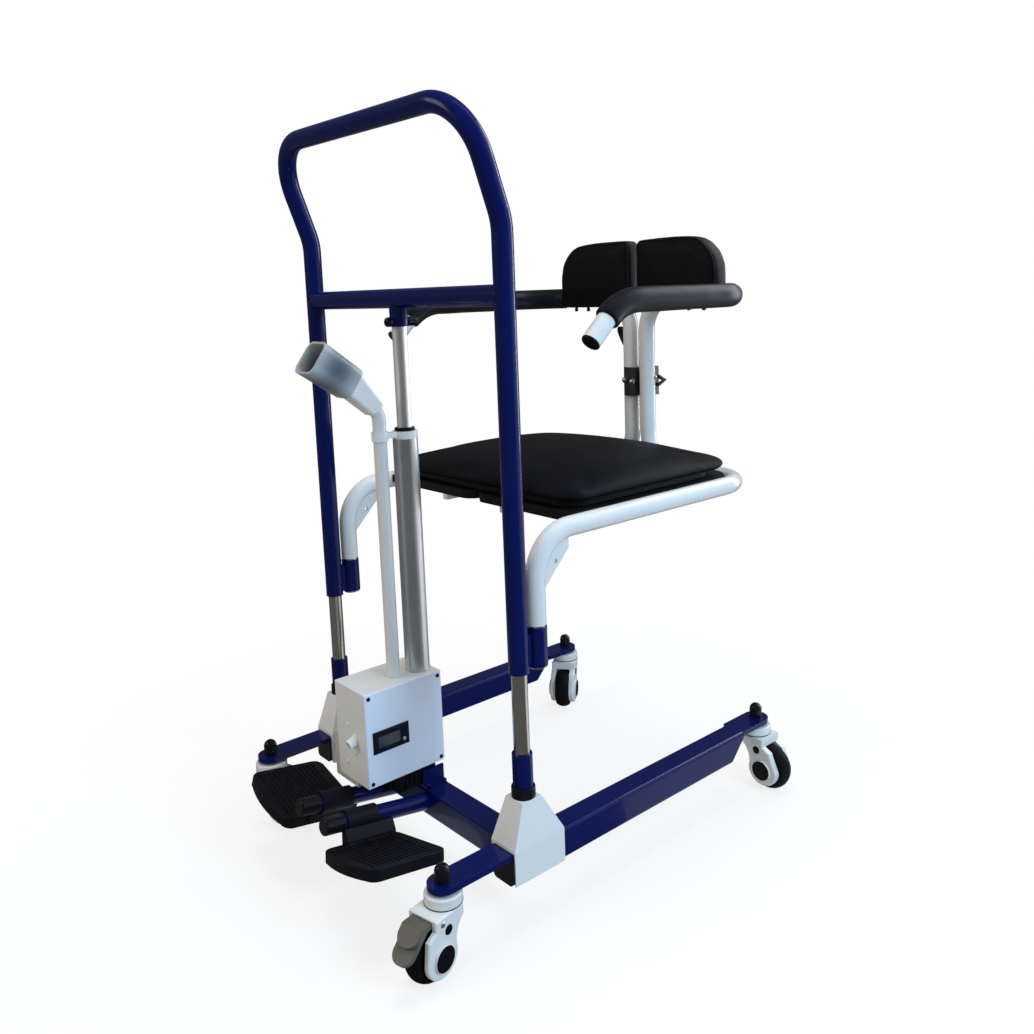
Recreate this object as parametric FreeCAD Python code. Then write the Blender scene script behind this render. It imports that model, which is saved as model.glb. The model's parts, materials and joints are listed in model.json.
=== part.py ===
import FreeCAD, Part
import math
import os

# Sit-to-stand transfer lift.  Millimetres, +Z up, floor at z = 0.
# The seated user faces -Y; left is +X.  While it is built, x = 0 is the mid-plane and
# y = 0 the plane of the two posts; at the end everything moves so that the origin is the
# centre of the whole footprint on the floor.

V = FreeCAD.Vector

# ---------------------------------------------------------------- shared fits
joint_gap = 0.3          # between faces that slide past each other or just seat
running_gap = 0.05       # radial, shaft in a plain bearing
fixed_gap = 0.1          # radial or face, parts pushed together and fixed
weld_gap = 0.02          # coped tube end to the tube it is welded on

# ---------------------------------------------------------------- round frame tube
tube_r = 14.0            # handle, crossbar, seat rails and arms
tube_wall = 2.0

# ---------------------------------------------------------------- casters
wheel_r = 37.5
tyre_w = 25.0
tyre_crown_r = 14.0
rim_r = 26.0
hub_r = 12.0
web_w = 12.0             # thickness of the wheel's web between hub and rim
axle_r = 4.0
caster_trail = 29.0      # stem axis to axle axis
fork_over_tyre = 15.7    # tyre to the top of the fork
spacer_h = 4.0
spacer_r = 10.0
swivel_ring_h = 14.0
swivel_ring_r = 25.0
swivel_ring_round = 2.5
stem_r = 6.0
stem_depth = 19.0        # stem inside the fork
nut_r = 10.25
nut_h = 24.0
fork_half_w = 24.0
fork_boss_half_w = 27.5
fork_boss_r = 17.0
fork_eye_r = 27.5        # rounded lower end of each fork leg
fork_rear = 12.0         # stem axis to the back of the housing
fork_rear_h = 15.0       # height of the housing's upright back
fork_waist = V(1.0, 0.0, 58.0)
hood_plain = 30.0        # stem axis to the upright front of a plain hood
hood_braked = 40.0       # the same on a hood with a pedal
hood_face_h = 14.0
hood_lip_out = 13.0
hood_lip_drop = 7.0
wheel_gap_r = 2.0
wheel_gap_w = 1.5
fork_round = 3.0
caster_names = ("front_left", "rear_left", "rear_right", "front_right")
caster_turn = {"front_left": -78.5, "rear_left": 0.0, "rear_right": -53.0, "front_right": 24.0}

# ---------------------------------------------------------------- brake pedals
pedal_w = 33.0
pedal_t = 6.0
pedal_step_t = 6.0       # extra thickness of the upper step
pedal_step_l = 30.0
pedal_l = 58.0
pedal_slope = 45.0
pedal_clear = 6.0        # underside of the pedal to the tyre
pedal_pin_r = 3.0
pedal_pin_drop = 9.0     # housing top to the pin axis
pedal_pin_back = 12.0    # front face of the hood to the pin axis

# ---------------------------------------------------------------- base frame
leg_x = 240.0            # leg and post centre line from the mid-plane
leg_w = 40.0
leg_h = 45.0
leg_wall = 2.5
leg_corner = 6.0
leg_front_y = -38.0
leg_rear_top_y = 463.0
leg_rear_bottom_y = 432.0
plate_x = 238.0          # caster plates' centre line
plate_w = 41.0
plate_t = 8.0
caster_front_y = -137.0
caster_rear_y = 525.0
cross_size = 40.0
cross_corner = 3.0
cross_drop = 3.0         # leg top to cross tube top
plug_t = 3.0
plug_depth = 12.0

# ---------------------------------------------------------------- columns
guide_r = 11.0
guide_wall = 2.0
guide_h = 523.0
socket_h = 124.0         # above the legs, as are the next four
shroud_wall = 2.0
shroud_inner_x = 213.0
shroud_front_y = -37.0
shroud_rear_y = 52.0
shroud_shoulder_h = 4.0
shroud_h = 63.0
shroud_neck = 17.0       # half width of the shroud's top
collar_r = 16.5
collar_h = 15.0

# ---------------------------------------------------------------- footrests
rest_x = 35.0
rest_r = 12.5
rest_wall = 2.0
rest_rise = 9.9          # degrees, upwards to the front
rest_root_drop = 17.5    # cross tube's top to the tube's axis at its root
rest_tube_l = 146.0
rest_cap_l = 30.0
pedal_plate_in = 15.5    # tube axis to the plate's inner edge, sideways
pedal_plate_w = 128.0
pedal_plate_back = 63.8  # along the tube from the cross tube
pedal_plate_l = 127.0
pedal_plate_bow = 6.5
pedal_plate_t = 16.5
pedal_plate_drop = 23.5  # tube axis to the inner edge's top
pedal_plate_tilt = 11.5
pedal_plate_corner = 15.0
pedal_plate_rim = 2.0
rib_count = 13
rib_depth = 1.5
rib_gap_w = 4.0
rib_margin = 10.0        # end of a groove to the plate's outer edge
sleeve_r = 16.0
sleeve_back = 92.0
sleeve_l = 51.0
hinge_web_back = 70.0    # along the tube from the cross tube
hinge_web_l = 79.0
hinge_web_t = 10.0

# ---------------------------------------------------------------- control box and drive
box_left_x = 32.0
box_right_x = -52.0
box_front_y = -114.0
box_rear_y = 19.5
box_up = 35.0            # cross tube's top to the underside of the box
box_h = 142.0
box_wall = 3.0
box_corner = 3.0
lid_t = 5.0
lid_post = 9.0
lid_screw_r = 1.6
screw_head_r = 3.0
screw_head_h = 1.6
screw_l = 8.0
bezel_w = 61.0
bezel_h = 33.0
bezel_t = 3.0
bezel_front_gap = 10.0   # lid's front edge to the bezel
bezel_top_gap = 59.0     # lid's top edge to the bezel
bezel_frame = 6.0
window_t = 1.5
button_r = 2.6
button_out = 1.8
button_travel = 1.2
socket_cone_r = 9.0
socket_tip_r = 7.0
socket_bore_r = 3.5
socket_l = 13.0
socket_dip = 20.0
socket_up = 68.0         # underside of the box to the inlet
battery_t = 25.0
battery_front_y = -107.0
battery_rear_y = 15.0
battery_up = 54.0        # underside of the box to the case's top
battery_down = 15.0      # underside of the box to the case's bottom
battery_lip_x = -12.0
battery_lip_rear_y = -63.0
battery_round = 4.0
bracket_t = 4.0
bracket_bolt_in = 3.0    # bracket's side edge to its bolts
bracket_bolt_gap = 0.5   # bracket's ears to the heads of its bolts
bracket_bolt_back = 6.0  # front of the cross tube to the bolts
ear_x = 26.0
ear_h = 26.0
motor_half_w = 22.0
motor_front_y = -60.0
motor_rear_y = 11.0
motor_rib_count = 7
motor_rib = 2.0
actuator_r = 18.5
actuator_wall = 2.5
actuator_h = 354.0       # above the box
actuator_cap_h = 11.0
wiper_r = 15.0
wiper_h = 5.0
rod_r = 10.75
rod_bore_r = 8.5
rod_overlap = 225.0      # rod left inside the outer tube at rest
rod_nut_l = 22.0
rod_seat = 24.0          # rod inside its socket
screw_r = 7.5
screw_top_drop = 15.0    # outer tube's top to the spindle's top
lift_down = 105.0        # travel below rest
lift_room = 5.0          # left over the spindle at the lowest pose
screw_up = 51.0          # underside of the box to the foot of the spindle
rod_socket_r = 13.25
rod_socket_drop = 40.0   # crossbar axis to the socket's lower rim
rod_bolt_r = 4.0
rod_bolt_up = 7.0        # socket's lower rim to the bolt axis
rod_cap_r = 7.0
rod_cap_front = 9.5
rod_cap_rear = 18.0

# ---------------------------------------------------------------- cup holder
pole_y = -43.0
pole_r = 9.75
pole_wall = 1.5
pole_bend_up = 38.0      # above the outer tube, as are the next three heights
pole_bend_r = 20.0
pole_tip_y = -56.0
pole_tip_up = 54.0
wrap_r = 12.0
wrap_h = 14.0
cup_base_y = -88.0
cup_base_up = 87.0
cup_l = 70.0
cup_rise = 35.5
cup_base_w = 46.0
cup_mouth_w = 50.0
cup_corner = 12.0
cup_wall = 3.0
neck_start_y = -50.0
neck_start_up = 47.0
neck_start_w = 24.0
neck_start_rise = 52.0     # degrees from level
neck_end_w = 36.0

# ---------------------------------------------------------------- lifting frame
post_up = 236.0          # above the legs
handle_bend_up = 585.0   # above the posts' lower ends, as are the next four
handle_bend_r = 90.0
handle_lean = 52.0       # posts' plane to the hand rail, to the front
handle_up = 733.0
handle_corner_r = 78.0
crossbar_up = 494.0
bushing_l = 40.0
bushing_upper_up = 207.0
pivot_y = 33.0
pivot_sleeve_r = 14.5
pivot_sleeve_bore = 12.0
pivot_sleeve_up = 2.0
pivot_sleeve_h = 54.0
pivot_web_t = 9.0
pivot_web_h = 44.0
pivot_web_up = 2.0
pivot_pin_r = 10.0
pivot_flange_r = 13.0
pivot_flange_t = 2.5
pivot_bush_l = 14.0

# ---------------------------------------------------------------- seat halves
rail_up = 180.0          # posts' lower ends to the seat rails
rail_front_r = 65.0
seat_rear_y = 508.0
rail_rear_r = 68.0
upright_x = 19.0
upright_bend_r = 60.0
arm_up = 301.0           # rails to the arms
arm_rear_r = 75.0
arm_bend_y = 207.6
arm_bend_r = 95.0
arm_dip = 43.0
arm_end_l = 79.7
arm_bare_l = 42.3        # painted tube left bare below the grip
grip_r = 18.5
grip_gap = 0.25
grip_pad_gap = 7.5       # pad's side to the sleeve's end, along the tube's axis
gusset_t = 5.0
gusset_low_drop = 75.4   # below the rails' axis
gusset_low_y = 48.5
gusset_high_y = 94.4
gusset_high_drop = 28.4
gusset_hole_r = 3.0
board_front_y = 118.0
board_t = 13.0
board_drop = 2.0         # rails' axis to the board's underside
board_split = 2.0
board_gap = 0.5
board_front_r = 25.0
support_x = 67.0
support_w = 10.0
support_h = 9.0
strap_w = 30.0
strap_t = 4.0
strap_rows = (200.0, 400.0)
pad_in_x = 8.5
pad_out_x = 184.0
pad_t = 41.0
pad_below = 19.0         # arms' axis to the pad's lower edge
pad_above = 100.0
pad_outer_r = 62.0
pad_inner_r = 8.0
pad_edge_r = 7.0

# ---------------------------------------------------------------- latch
latch_up = 125.0         # rails' axis to the block's lower edge
latch_h = 51.0
latch_wall = 3.0
latch_in_x = 2.2         # inner face of the block, past the mid-plane
latch_out = 4.0          # block past the right upright's axis, outwards
latch_bridge_h = 20.0
latch_front = 17.5       # upright axis to the block's front face
latch_rear = 9.0
latch_plate_t = 4.0
latch_plate_out = 12.0   # plate past the upright's axis, outwards
latch_plate_up = 2.0     # plate higher than the block
latch_stud_r = 4.0
latch_stud_l = 7.0
lever_t = 4.0
lever_w = 13.0
lever_pin_r = 3.5
lever_up = 80.0
lever_lean = 32.0
grab_out = 19.0
grab_up = 1.5            # lever pin to the middle of the grab
grab_half = 11.0

# ---------------------------------------------------------------- cushion
cushion_half_w = 224.0
cushion_rear_y = 470.0
cushion_base_h = 10.0
cushion_base_inset = 14.0
cushion_side_h = 10.0
cushion_crown = 27.0
cushion_corner_r = 48.0

# ---------------------------------------------------------------- sizes that follow
caster_h = 2 * wheel_r + fork_over_tyre + joint_gap + swivel_ring_h + spacer_h
leg_top = caster_h + plate_t
leg_bottom = leg_top - leg_h
ring_bottom = caster_h - spacer_h - swivel_ring_h
fork_top = ring_bottom - joint_gap
cross_top = leg_top - cross_drop
socket_top = leg_top + socket_h
guide_top = leg_top + guide_h
shroud_shoulder_z = leg_top + shroud_shoulder_h
shroud_top_z = leg_top + shroud_h
rest_root_z = cross_top - rest_root_drop
box_bottom_z = cross_top + box_up
box_top = box_bottom_z + box_h
socket_z = box_bottom_z + socket_up
battery_top_z = box_bottom_z + battery_up
battery_bottom_z = box_bottom_z - battery_down
actuator_top = box_top + actuator_h
rod_bottom = actuator_top - rod_overlap
screw_bottom = box_bottom_z + screw_up
pole_bend_z = actuator_top + pole_bend_up
pole_tip = V(0.0, pole_tip_y, actuator_top + pole_tip_up)
cup_base = V(0.0, cup_base_y, actuator_top + cup_base_up)
neck_start = V(0.0, neck_start_y, actuator_top + neck_start_up)
post_bottom = leg_top + post_up
handle_bend_z = post_bottom + handle_bend_up
handle_top = V(0.0, -handle_lean, post_bottom + handle_up)
crossbar_z = post_bottom + crossbar_up
bushing_upper_z = post_bottom + bushing_upper_up
pivot_sleeve_bottom = post_bottom + pivot_sleeve_up
rail_z = post_bottom + rail_up
arm_z = rail_z + arm_up
gusset_low = rail_z - gusset_low_drop
gusset_high = rail_z - gusset_high_drop
board_bottom_z = rail_z - board_drop
pad_bottom = arm_z - pad_below
pad_top = arm_z + pad_above
latch_z = rail_z + latch_up
tube_in_r = tube_r - tube_wall
board_top = board_bottom_z + board_t
cushion_bottom = board_top + joint_gap
rod_socket_bottom = crossbar_z - rod_socket_drop
rod_bolt_z = rod_socket_bottom + rod_bolt_up
pivot_top = pivot_sleeve_bottom + pivot_sleeve_h
leg_in_x = leg_x - leg_w / 2
leg_out_x = leg_x + leg_w / 2


# ================================================================ general shapes
def box(x0, x1, y0, y1, z0, z1):
    """Block between two corners, given in any order."""
    low = V(min(x0, x1), min(y0, y1), min(z0, z1))
    return Part.makeBox(abs(x1 - x0), abs(y1 - y0), abs(z1 - z0), low)


def rod(radius, start, end):
    """Solid cylinder from start to end."""
    way = end - start
    return Part.makeCylinder(radius, way.Length, start, way)


def upright_rod(radius, x, y, z0, z1):
    return rod(radius, V(x, y, z0), V(x, y, z1))


def upright_ring(outer, inner, x, y, z0, z1):
    hole = upright_rod(inner, x, y, z0 - 1, z1 + 1)
    return upright_rod(outer, x, y, z0, z1).cut(hole)


def bent_wire(points, radii):
    """Straight runs through the points, joined by tangent arcs of the given radii."""
    edges = []
    last = points[0]
    for before, corner, after, radius in zip(points, points[1:], points[2:], radii):
        into = (corner - before).normalize()
        out = (after - corner).normalize()
        half = into.getAngle(out) / 2
        reach = radius * math.tan(half)
        a = corner - into * reach
        b = corner + out * reach
        bisector = (out - into).normalize()
        middle = corner + bisector * (radius / math.cos(half) - radius)
        edges.append(Part.LineSegment(last, a).toShape())
        edges.append(Part.Arc(a, middle, b).toShape())
        last = b
    edges.append(Part.LineSegment(last, points[-1]).toShape())
    return Part.Wire(edges)


def pipe(points, radii, radius):
    """Solid round bar along a bent path."""
    path = bent_wire(points, radii)
    circle = Part.makeCircle(radius, points[0], points[1] - points[0])
    return path.makePipeShell([Part.Wire([circle])], True, False)


def tube(points, radii, outer, inner):
    return pipe(points, radii, outer).cut(pipe(points, radii, inner))


def fuse(first, *others):
    return first.multiFuse(list(others)).removeSplitter()


def rounded_face(width, depth, corner):
    """Rectangle with round corners, centred on the origin in the XY plane."""
    x = width / 2
    y = depth / 2
    r = min(corner, x * 0.98, y * 0.98)
    k = r * (1 - math.sqrt(0.5))
    edges = []
    for sx, sy in ((1, 1), (-1, 1), (-1, -1), (1, -1)):
        first = V(sx * x, sy * (y - r), 0)
        last = V(sx * (x - r), sy * y, 0)
        if sx * sy < 0:
            first, last = last, first
        middle = V(sx * (x - k), sy * (y - k), 0)
        edges.append((first, middle, last))
    shapes = []
    for i, (first, middle, last) in enumerate(edges):
        shapes.append(Part.Arc(first, middle, last).toShape())
        shapes.append(Part.LineSegment(last, edges[(i + 1) % 4][0]).toShape())
    return Part.Face(Part.Wire(shapes))


def along_y(face, x, z, y0, y1):
    """Extrude a face drawn about the origin along Y, centred on x, z."""
    face = face.copy()
    face.rotate(V(0, 0, 0), V(1, 0, 0), 90)
    face.translate(V(x, y0, z))
    return face.extrude(V(0, y1 - y0, 0))


def upright_block(x0, x1, y0, y1, z0, z1, corner):
    """Block with its four upright edges rounded."""
    face = rounded_face(x1 - x0, y1 - y0, corner)
    face.translate(V((x0 + x1) / 2, (y0 + y1) / 2, z0))
    return face.extrude(V(0, 0, z1 - z0))


def side_profile(points, x0, x1):
    """Polygon of (y, z) points, extruded across X."""
    wire = Part.makePolygon([V(x0, y, z) for y, z in points + points[:1]])
    return Part.Face(wire).extrude(V(x1 - x0, 0, 0))


def mirrored(shape):
    return shape.mirror(V(0, 0, 0), V(1, 0, 0))


def both_sides(shape):
    return Part.makeCompound([shape, mirrored(shape)])


def turned(shape, degrees, at=V(0, 0, 0), axis=V(0, 0, 1)):
    shape = shape.copy()
    shape.rotate(at, axis, degrees)
    return shape


# ================================================================ casters
def caster_place(name):
    x = plate_x if name.endswith("left") else -plate_x
    y = caster_front_y if name.startswith("front") else caster_rear_y
    return V(x, y, 0)


def place_caster(shape, name):
    """Move a shape built about the stem axis, wheel towards +X, to its caster."""
    shape = turned(shape, caster_turn[name])
    shape.translate(caster_place(name))
    return shape


def fork_outline(hood):
    """Side view of the housing and its legs, in the plane y = 0."""
    axle = V(caster_trail, 0, wheel_r)
    front = axle + V(fork_eye_r, 0, 0)
    bottom = axle - V(0, 0, fork_eye_r)
    back = axle - V(fork_eye_r, 0, 0)
    lip = V(hood + hood_lip_out, 0, fork_top - hood_face_h - hood_lip_drop)
    corner = V(-fork_rear, 0, fork_top - fork_rear_h)
    lines = [
        (V(-fork_rear, 0, fork_top), V(hood, 0, fork_top)),
        (V(hood, 0, fork_top), V(hood, 0, fork_top - hood_face_h)),
        (V(hood, 0, fork_top - hood_face_h), lip),
        (lip, front),
        (corner, V(-fork_rear, 0, fork_top)),
    ]
    arcs = [
        (front, axle + V(fork_eye_r, 0, -fork_eye_r) * math.sqrt(0.5), bottom),
        (bottom, axle + V(-fork_eye_r, 0, -fork_eye_r) * math.sqrt(0.5), back),
        (back, fork_waist, corner),
    ]
    edges = [Part.LineSegment(a, b).toShape() for a, b in lines]
    edges += [Part.Arc(a, b, c).toShape() for a, b, c in arcs]
    return Part.Face(Part.Wire(Part.__sortEdges__(edges)))


def caster_fork(hood):
    """Housing with two legs, hub bosses and the axle, about the stem axis."""
    face = fork_outline(hood)
    face.translate(V(0, -fork_half_w, 0))
    body = face.extrude(V(0, 2 * fork_half_w, 0))
    rims = [e for e in body.Edges if abs(abs(e.CenterOfMass.y) - fork_half_w) < 0.01]
    body = body.makeFillet(fork_round, rims)
    a = V(caster_trail, -fork_boss_half_w, wheel_r)
    b = V(caster_trail, fork_boss_half_w, wheel_r)
    body = body.fuse(rod(fork_boss_r, a, b))
    half = tyre_w / 2 + wheel_gap_w
    room = rod(wheel_r + wheel_gap_r, V(a.x, -half, a.z), V(a.x, half, a.z))
    room = room.fuse(box(a.x, a.x + 2 * wheel_r, -half, half, 0, a.z + wheel_r * 0.45))
    body = body.cut(room)
    body = body.fuse(rod(axle_r, a + V(0, 2, 0), b - V(0, 2, 0)))
    bore = upright_rod(stem_r + running_gap, 0, 0, fork_top - stem_depth - joint_gap, fork_top + 1)
    return body.cut(bore).removeSplitter()


def braked_fork():
    """Front fork: the hood is open in front for the pedal and its pin."""
    fork = caster_fork(hood_braked)
    side = pedal_w / 2 + 2 * joint_gap
    back = hood_braked - pedal_pin_back - pedal_pin_r - 5
    high = fork_top - 2.5
    pocket = box(back, hood_braked + 60, -side, side, fork_top - 22, high)
    nose = box(hood_braked - 2, hood_braked + 60, -side, side, 0, high)
    fork = fork.cut(pocket).cut(nose)
    return fork.cut(pedal_pin(fork_half_w + 1, pedal_pin_r + running_gap))


def pedal_pin(half_length, radius):
    x = hood_braked - pedal_pin_back
    z = fork_top - pedal_pin_drop
    return rod(radius, V(x, -half_length, z), V(x, half_length, z))


def brake_pedal():
    """Foot pedal: a round root on its pin, a thick upper step and a thinner flap."""
    pin_x = hood_braked - pedal_pin_back
    pin_z = fork_top - pedal_pin_drop
    slope = math.radians(pedal_slope)
    down = V(math.cos(slope), 0, -math.sin(slope))
    up = V(math.sin(slope), 0, math.cos(slope))
    foot = V(caster_trail, 0, wheel_r) + up * (wheel_r + pedal_clear)
    tip = foot + down * (pedal_l / 2)
    heel = foot - down * (pedal_l / 2)
    flap = rounded_tongue(heel, down, up, pedal_l, pedal_t, pedal_w / 2)
    step = rounded_tongue(heel, down, up, pedal_step_l + 8, pedal_t + pedal_step_t, pedal_w / 2)
    half = pedal_w / 2
    root = rod(pedal_t * 0.8, V(pin_x, -half, pin_z), V(pin_x, half, pin_z))
    neck = box(pin_x, heel.x + 10, -half, half, pin_z - 1, pin_z + pedal_t * 0.8)
    body = fuse(flap, step, root, neck)
    trim = box(-200, 200, -50, 50, fork_top - 3.2, fork_top + 60)
    room = rod(wheel_r + pedal_clear - 0.5, V(caster_trail, -50, wheel_r), V(caster_trail, 50, wheel_r))
    body = body.cut(trim).cut(room)
    return body.fuse(pedal_pin(fork_half_w - 0.5, pedal_pin_r)).removeSplitter()


def rounded_tongue(start, way, up, length, thick, end_r):
    """Flat tongue along a slope whose far end is a half ellipse."""
    face = rounded_face(2 * length, 2 * end_r, end_r * 0.9)
    plate = face.extrude(V(0, 0, thick))
    plate = plate.cut(box(-2 * length, 0, -2 * end_r, 2 * end_r, -1, thick + 1))
    turn = FreeCAD.Rotation(way, V(0, 1, 0), up, "XZY")
    plate.Placement = FreeCAD.Placement(start, turn)
    return plate


def caster_wheel():
    """Tyre, web and hub in one turned profile about the axle."""
    half = tyre_w / 2
    shoulder = wheel_r - tyre_crown_r * 0.3
    p = [
        V(axle_r + running_gap, -half, 0), V(hub_r, -half, 0), V(hub_r + 1.5, -web_w / 2, 0),
        V(rim_r - 1.5, -web_w / 2, 0), V(rim_r, -half, 0), V(shoulder, -half, 0),
    ]
    mirror = [V(q.x, -q.y, 0) for q in reversed(p)]
    edges = [Part.LineSegment(a, b).toShape() for a, b in zip(p, p[1:])]
    edges.append(Part.Arc(p[-1], V(wheel_r, 0, 0), mirror[0]).toShape())
    edges += [Part.LineSegment(a, b).toShape() for a, b in zip(mirror, mirror[1:])]
    edges.append(Part.LineSegment(mirror[-1], p[0]).toShape())
    face = Part.Face(Part.Wire(edges))
    solid = face.revolve(V(0, 0, 0), V(0, 1, 0), 360)
    solid.translate(V(caster_trail, 0, wheel_r))
    return solid


def caster_bearing_rings():
    rings = []
    for name in caster_names:
        ring = upright_ring(swivel_ring_r, stem_r + fixed_gap, 0, 0, ring_bottom, caster_h - spacer_h)
        top = [e for e in ring.Edges if abs(e.BoundBox.ZMin - (caster_h - spacer_h)) < 0.01
               and e.BoundBox.XLength > 2 * stem_r + 5]
        ring = ring.makeFillet(swivel_ring_round, top)
        rings.append(place_caster(ring, name))
    return Part.makeCompound(rings)


def caster_stem_bolts():
    bolts = []
    for name in caster_names:
        shank = upright_rod(stem_r, 0, 0, fork_top - stem_depth, leg_top + nut_h / 2)
        spacer = upright_rod(spacer_r, 0, 0, caster_h - spacer_h, caster_h)
        bolts.append(place_caster(fuse(shank, spacer), name))
    return Part.makeCompound(bolts)


def caster_dome_nuts():
    nuts = []
    for name in caster_names:
        base = upright_rod(nut_r, 0, 0, leg_top, leg_top + nut_h - nut_r)
        dome = Part.makeSphere(nut_r, V(0, 0, leg_top + nut_h - nut_r))
        dome = dome.common(upright_rod(2 * nut_r, 0, 0, leg_top, leg_top + nut_h))
        thread = upright_rod(stem_r + fixed_gap, 0, 0, leg_top - 1, leg_top + nut_h / 2 + 0.5)
        nuts.append(place_caster(fuse(base, dome).cut(thread), name))
    return Part.makeCompound(nuts)


# ================================================================ base
def leg_body(inset, y_front, rear_shift):
    """Rectangular tube body with a slanted rear end, drawn inwards by inset."""
    face = rounded_face(leg_w - 2 * inset, leg_h - 2 * inset, max(leg_corner - inset, 1.0))
    body = along_y(face, leg_x, leg_top - leg_h / 2, y_front, leg_rear_top_y + 10)
    tail = [
        (y_front - 5, leg_bottom - 5), (leg_rear_bottom_y - rear_shift, leg_bottom - 5),
        (leg_rear_bottom_y - rear_shift, leg_bottom + 4),
        (leg_rear_top_y - rear_shift, caster_h), (leg_rear_top_y - rear_shift, leg_top + 5),
        (y_front - 5, leg_top + 5),
    ]
    return body.common(side_profile(tail, leg_in_x - 5, leg_out_x + 5))


def caster_plate(y_weld, y_bolt):
    """Flat plate from the end of a leg to a rounded tip around the caster bolt."""
    x0 = plate_x - plate_w / 2
    strip = box(x0, x0 + plate_w, y_weld, y_bolt, caster_h, leg_top)
    tip = upright_rod(plate_w / 2, plate_x, y_bolt, caster_h, leg_top)
    hole = upright_rod(stem_r + 2 * fixed_gap, plate_x, y_bolt, caster_h - 1, leg_top + 1)
    return strip.fuse(tip).cut(hole)


def base_leg():
    leg = leg_body(0, leg_front_y, 0).cut(leg_body(leg_wall, leg_front_y - 1, leg_wall * 1.3))
    front = caster_plate(leg_front_y, caster_front_y)
    rear = caster_plate(leg_rear_top_y, caster_rear_y)
    return fuse(leg, front, rear)


def leg_front_plug():
    """Cap over the open front end of a leg, under the caster plate."""
    face = rounded_face(leg_w, leg_h, leg_corner)
    cap = along_y(face, leg_x, leg_top - leg_h / 2, leg_front_y - plug_t, leg_front_y)
    cap = cap.common(box(0, 400, -400, 0, 0, caster_h - fixed_gap))
    inset = leg_wall + fixed_gap
    face = rounded_face(leg_w - 2 * inset, leg_h - 2 * inset, leg_corner - leg_wall)
    spigot = along_y(face, leg_x, leg_top - leg_h / 2, leg_front_y, leg_front_y + plug_depth)
    return fuse(cap, spigot)


def rest_way():
    rise = math.radians(rest_rise)
    return V(0, -math.cos(rise), math.sin(rise))


def rest_root():
    return V(rest_x, -cross_size / 2, rest_root_z)


def rest_cap():
    """Rounded black cap on the front end of a footrest tube."""
    way = rest_way()
    start = rest_root() + way * rest_tube_l
    cap = rod(rest_r, start, start + way * rest_cap_l)
    front = start + way * rest_cap_l
    rim = [e for e in cap.Edges if (e.CenterOfMass - front).Length < 1.0]
    cap = cap.makeFillet(3.0, rim)
    inner = rest_r - rest_wall - fixed_gap
    return fuse(cap, rod(inner, start - way * plug_depth, start + way * 2))


def tube_end_plugs():
    left = [leg_front_plug(), rest_cap()]
    return Part.makeCompound(left + [mirrored(s) for s in left])


def base_cross_tube():
    """Square tube between the legs with the two footrest tubes welded to its front."""
    z = cross_top - cross_size / 2
    reach = leg_in_x
    outer_face = rounded_face(cross_size, cross_size, cross_corner)
    inner_face = rounded_face(cross_size - 2 * leg_wall, cross_size - 2 * leg_wall, 1.0)
    outer = along_y(outer_face, 0, z, -reach, reach)
    inner = along_y(inner_face, 0, z, -reach - 1, reach + 1)
    outer.rotate(V(0, 0, 0), V(0, 0, 1), 90)
    inner.rotate(V(0, 0, 0), V(0, 0, 1), 90)
    way = rest_way()
    root = rest_root()
    arm = rod(rest_r, root - way * 10, root + way * rest_tube_l)
    bore = rod(rest_r - rest_wall, root - way * 11, root + way * (rest_tube_l + 1))
    arm = arm.cut(bore).cut(outer)
    body = fuse(outer.cut(inner), arm, mirrored(arm))
    for x, y in bracket_bolts():
        hole = upright_rod(lid_screw_r + fixed_gap, x, y, cross_top - leg_wall - 1, cross_top + 1)
        body = body.cut(hole)
    return body


def frustum(low, high, z0, z1):
    """Solid between two level rectangles given as (x0, x1, y0, y1)."""
    wires = []
    for (x0, x1, y0, y1), z in ((low, z0), (high, z1)):
        corners = [V(x0, y0, z), V(x1, y0, z), V(x1, y1, z), V(x0, y1, z)]
        wires.append(Part.makePolygon(corners + corners[:1]))
    return Part.makeLoft(wires, True, True)


def shroud_form(inset):
    low = (shroud_inner_x + inset, leg_out_x + joint_gap + shroud_wall - inset,
           shroud_front_y + inset, shroud_rear_y - inset)
    neck = shroud_neck - inset
    high = (leg_x - neck, leg_x + neck, -neck, neck)
    skirt = box(*low, leg_bottom - (10 if inset else 0), shroud_shoulder_z)
    return skirt.fuse(frustum(low, high, shroud_shoulder_z, shroud_top_z - inset))


def shroud():
    """Folded sheet cover round the foot of a column."""
    shell = shroud_form(0).cut(shroud_form(shroud_wall))
    gap = joint_gap
    leg_way = box(leg_in_x - gap, leg_out_x + gap, -90, 90, 0, leg_top + gap)
    half = cross_size / 2 + gap
    cross_way = box(shroud_inner_x - 5, leg_in_x, -half, half, 0, cross_top + gap)
    neck_hole = upright_rod(tube_r + gap, leg_x, 0, shroud_shoulder_z, shroud_top_z + 5)
    return shell.cut(leg_way).cut(cross_way).cut(neck_hole)


def column_sockets():
    return both_sides(upright_ring(tube_r, guide_r + fixed_gap, leg_x, 0, leg_top, socket_top))


def socket_collars():
    low = shroud_top_z
    ring = upright_ring(collar_r, tube_r + fixed_gap, leg_x, 0, low, low + collar_h)
    top = [e for e in ring.Edges if abs(e.BoundBox.ZMin - low - collar_h) < 0.01
           and e.BoundBox.XLength > 2 * tube_r + 2]
    return both_sides(ring.makeFillet(1.5, top))


def guide_tubes():
    ring = upright_ring(guide_r, guide_r - guide_wall, leg_x, 0, leg_top, guide_top)
    return both_sides(ring)


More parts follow.
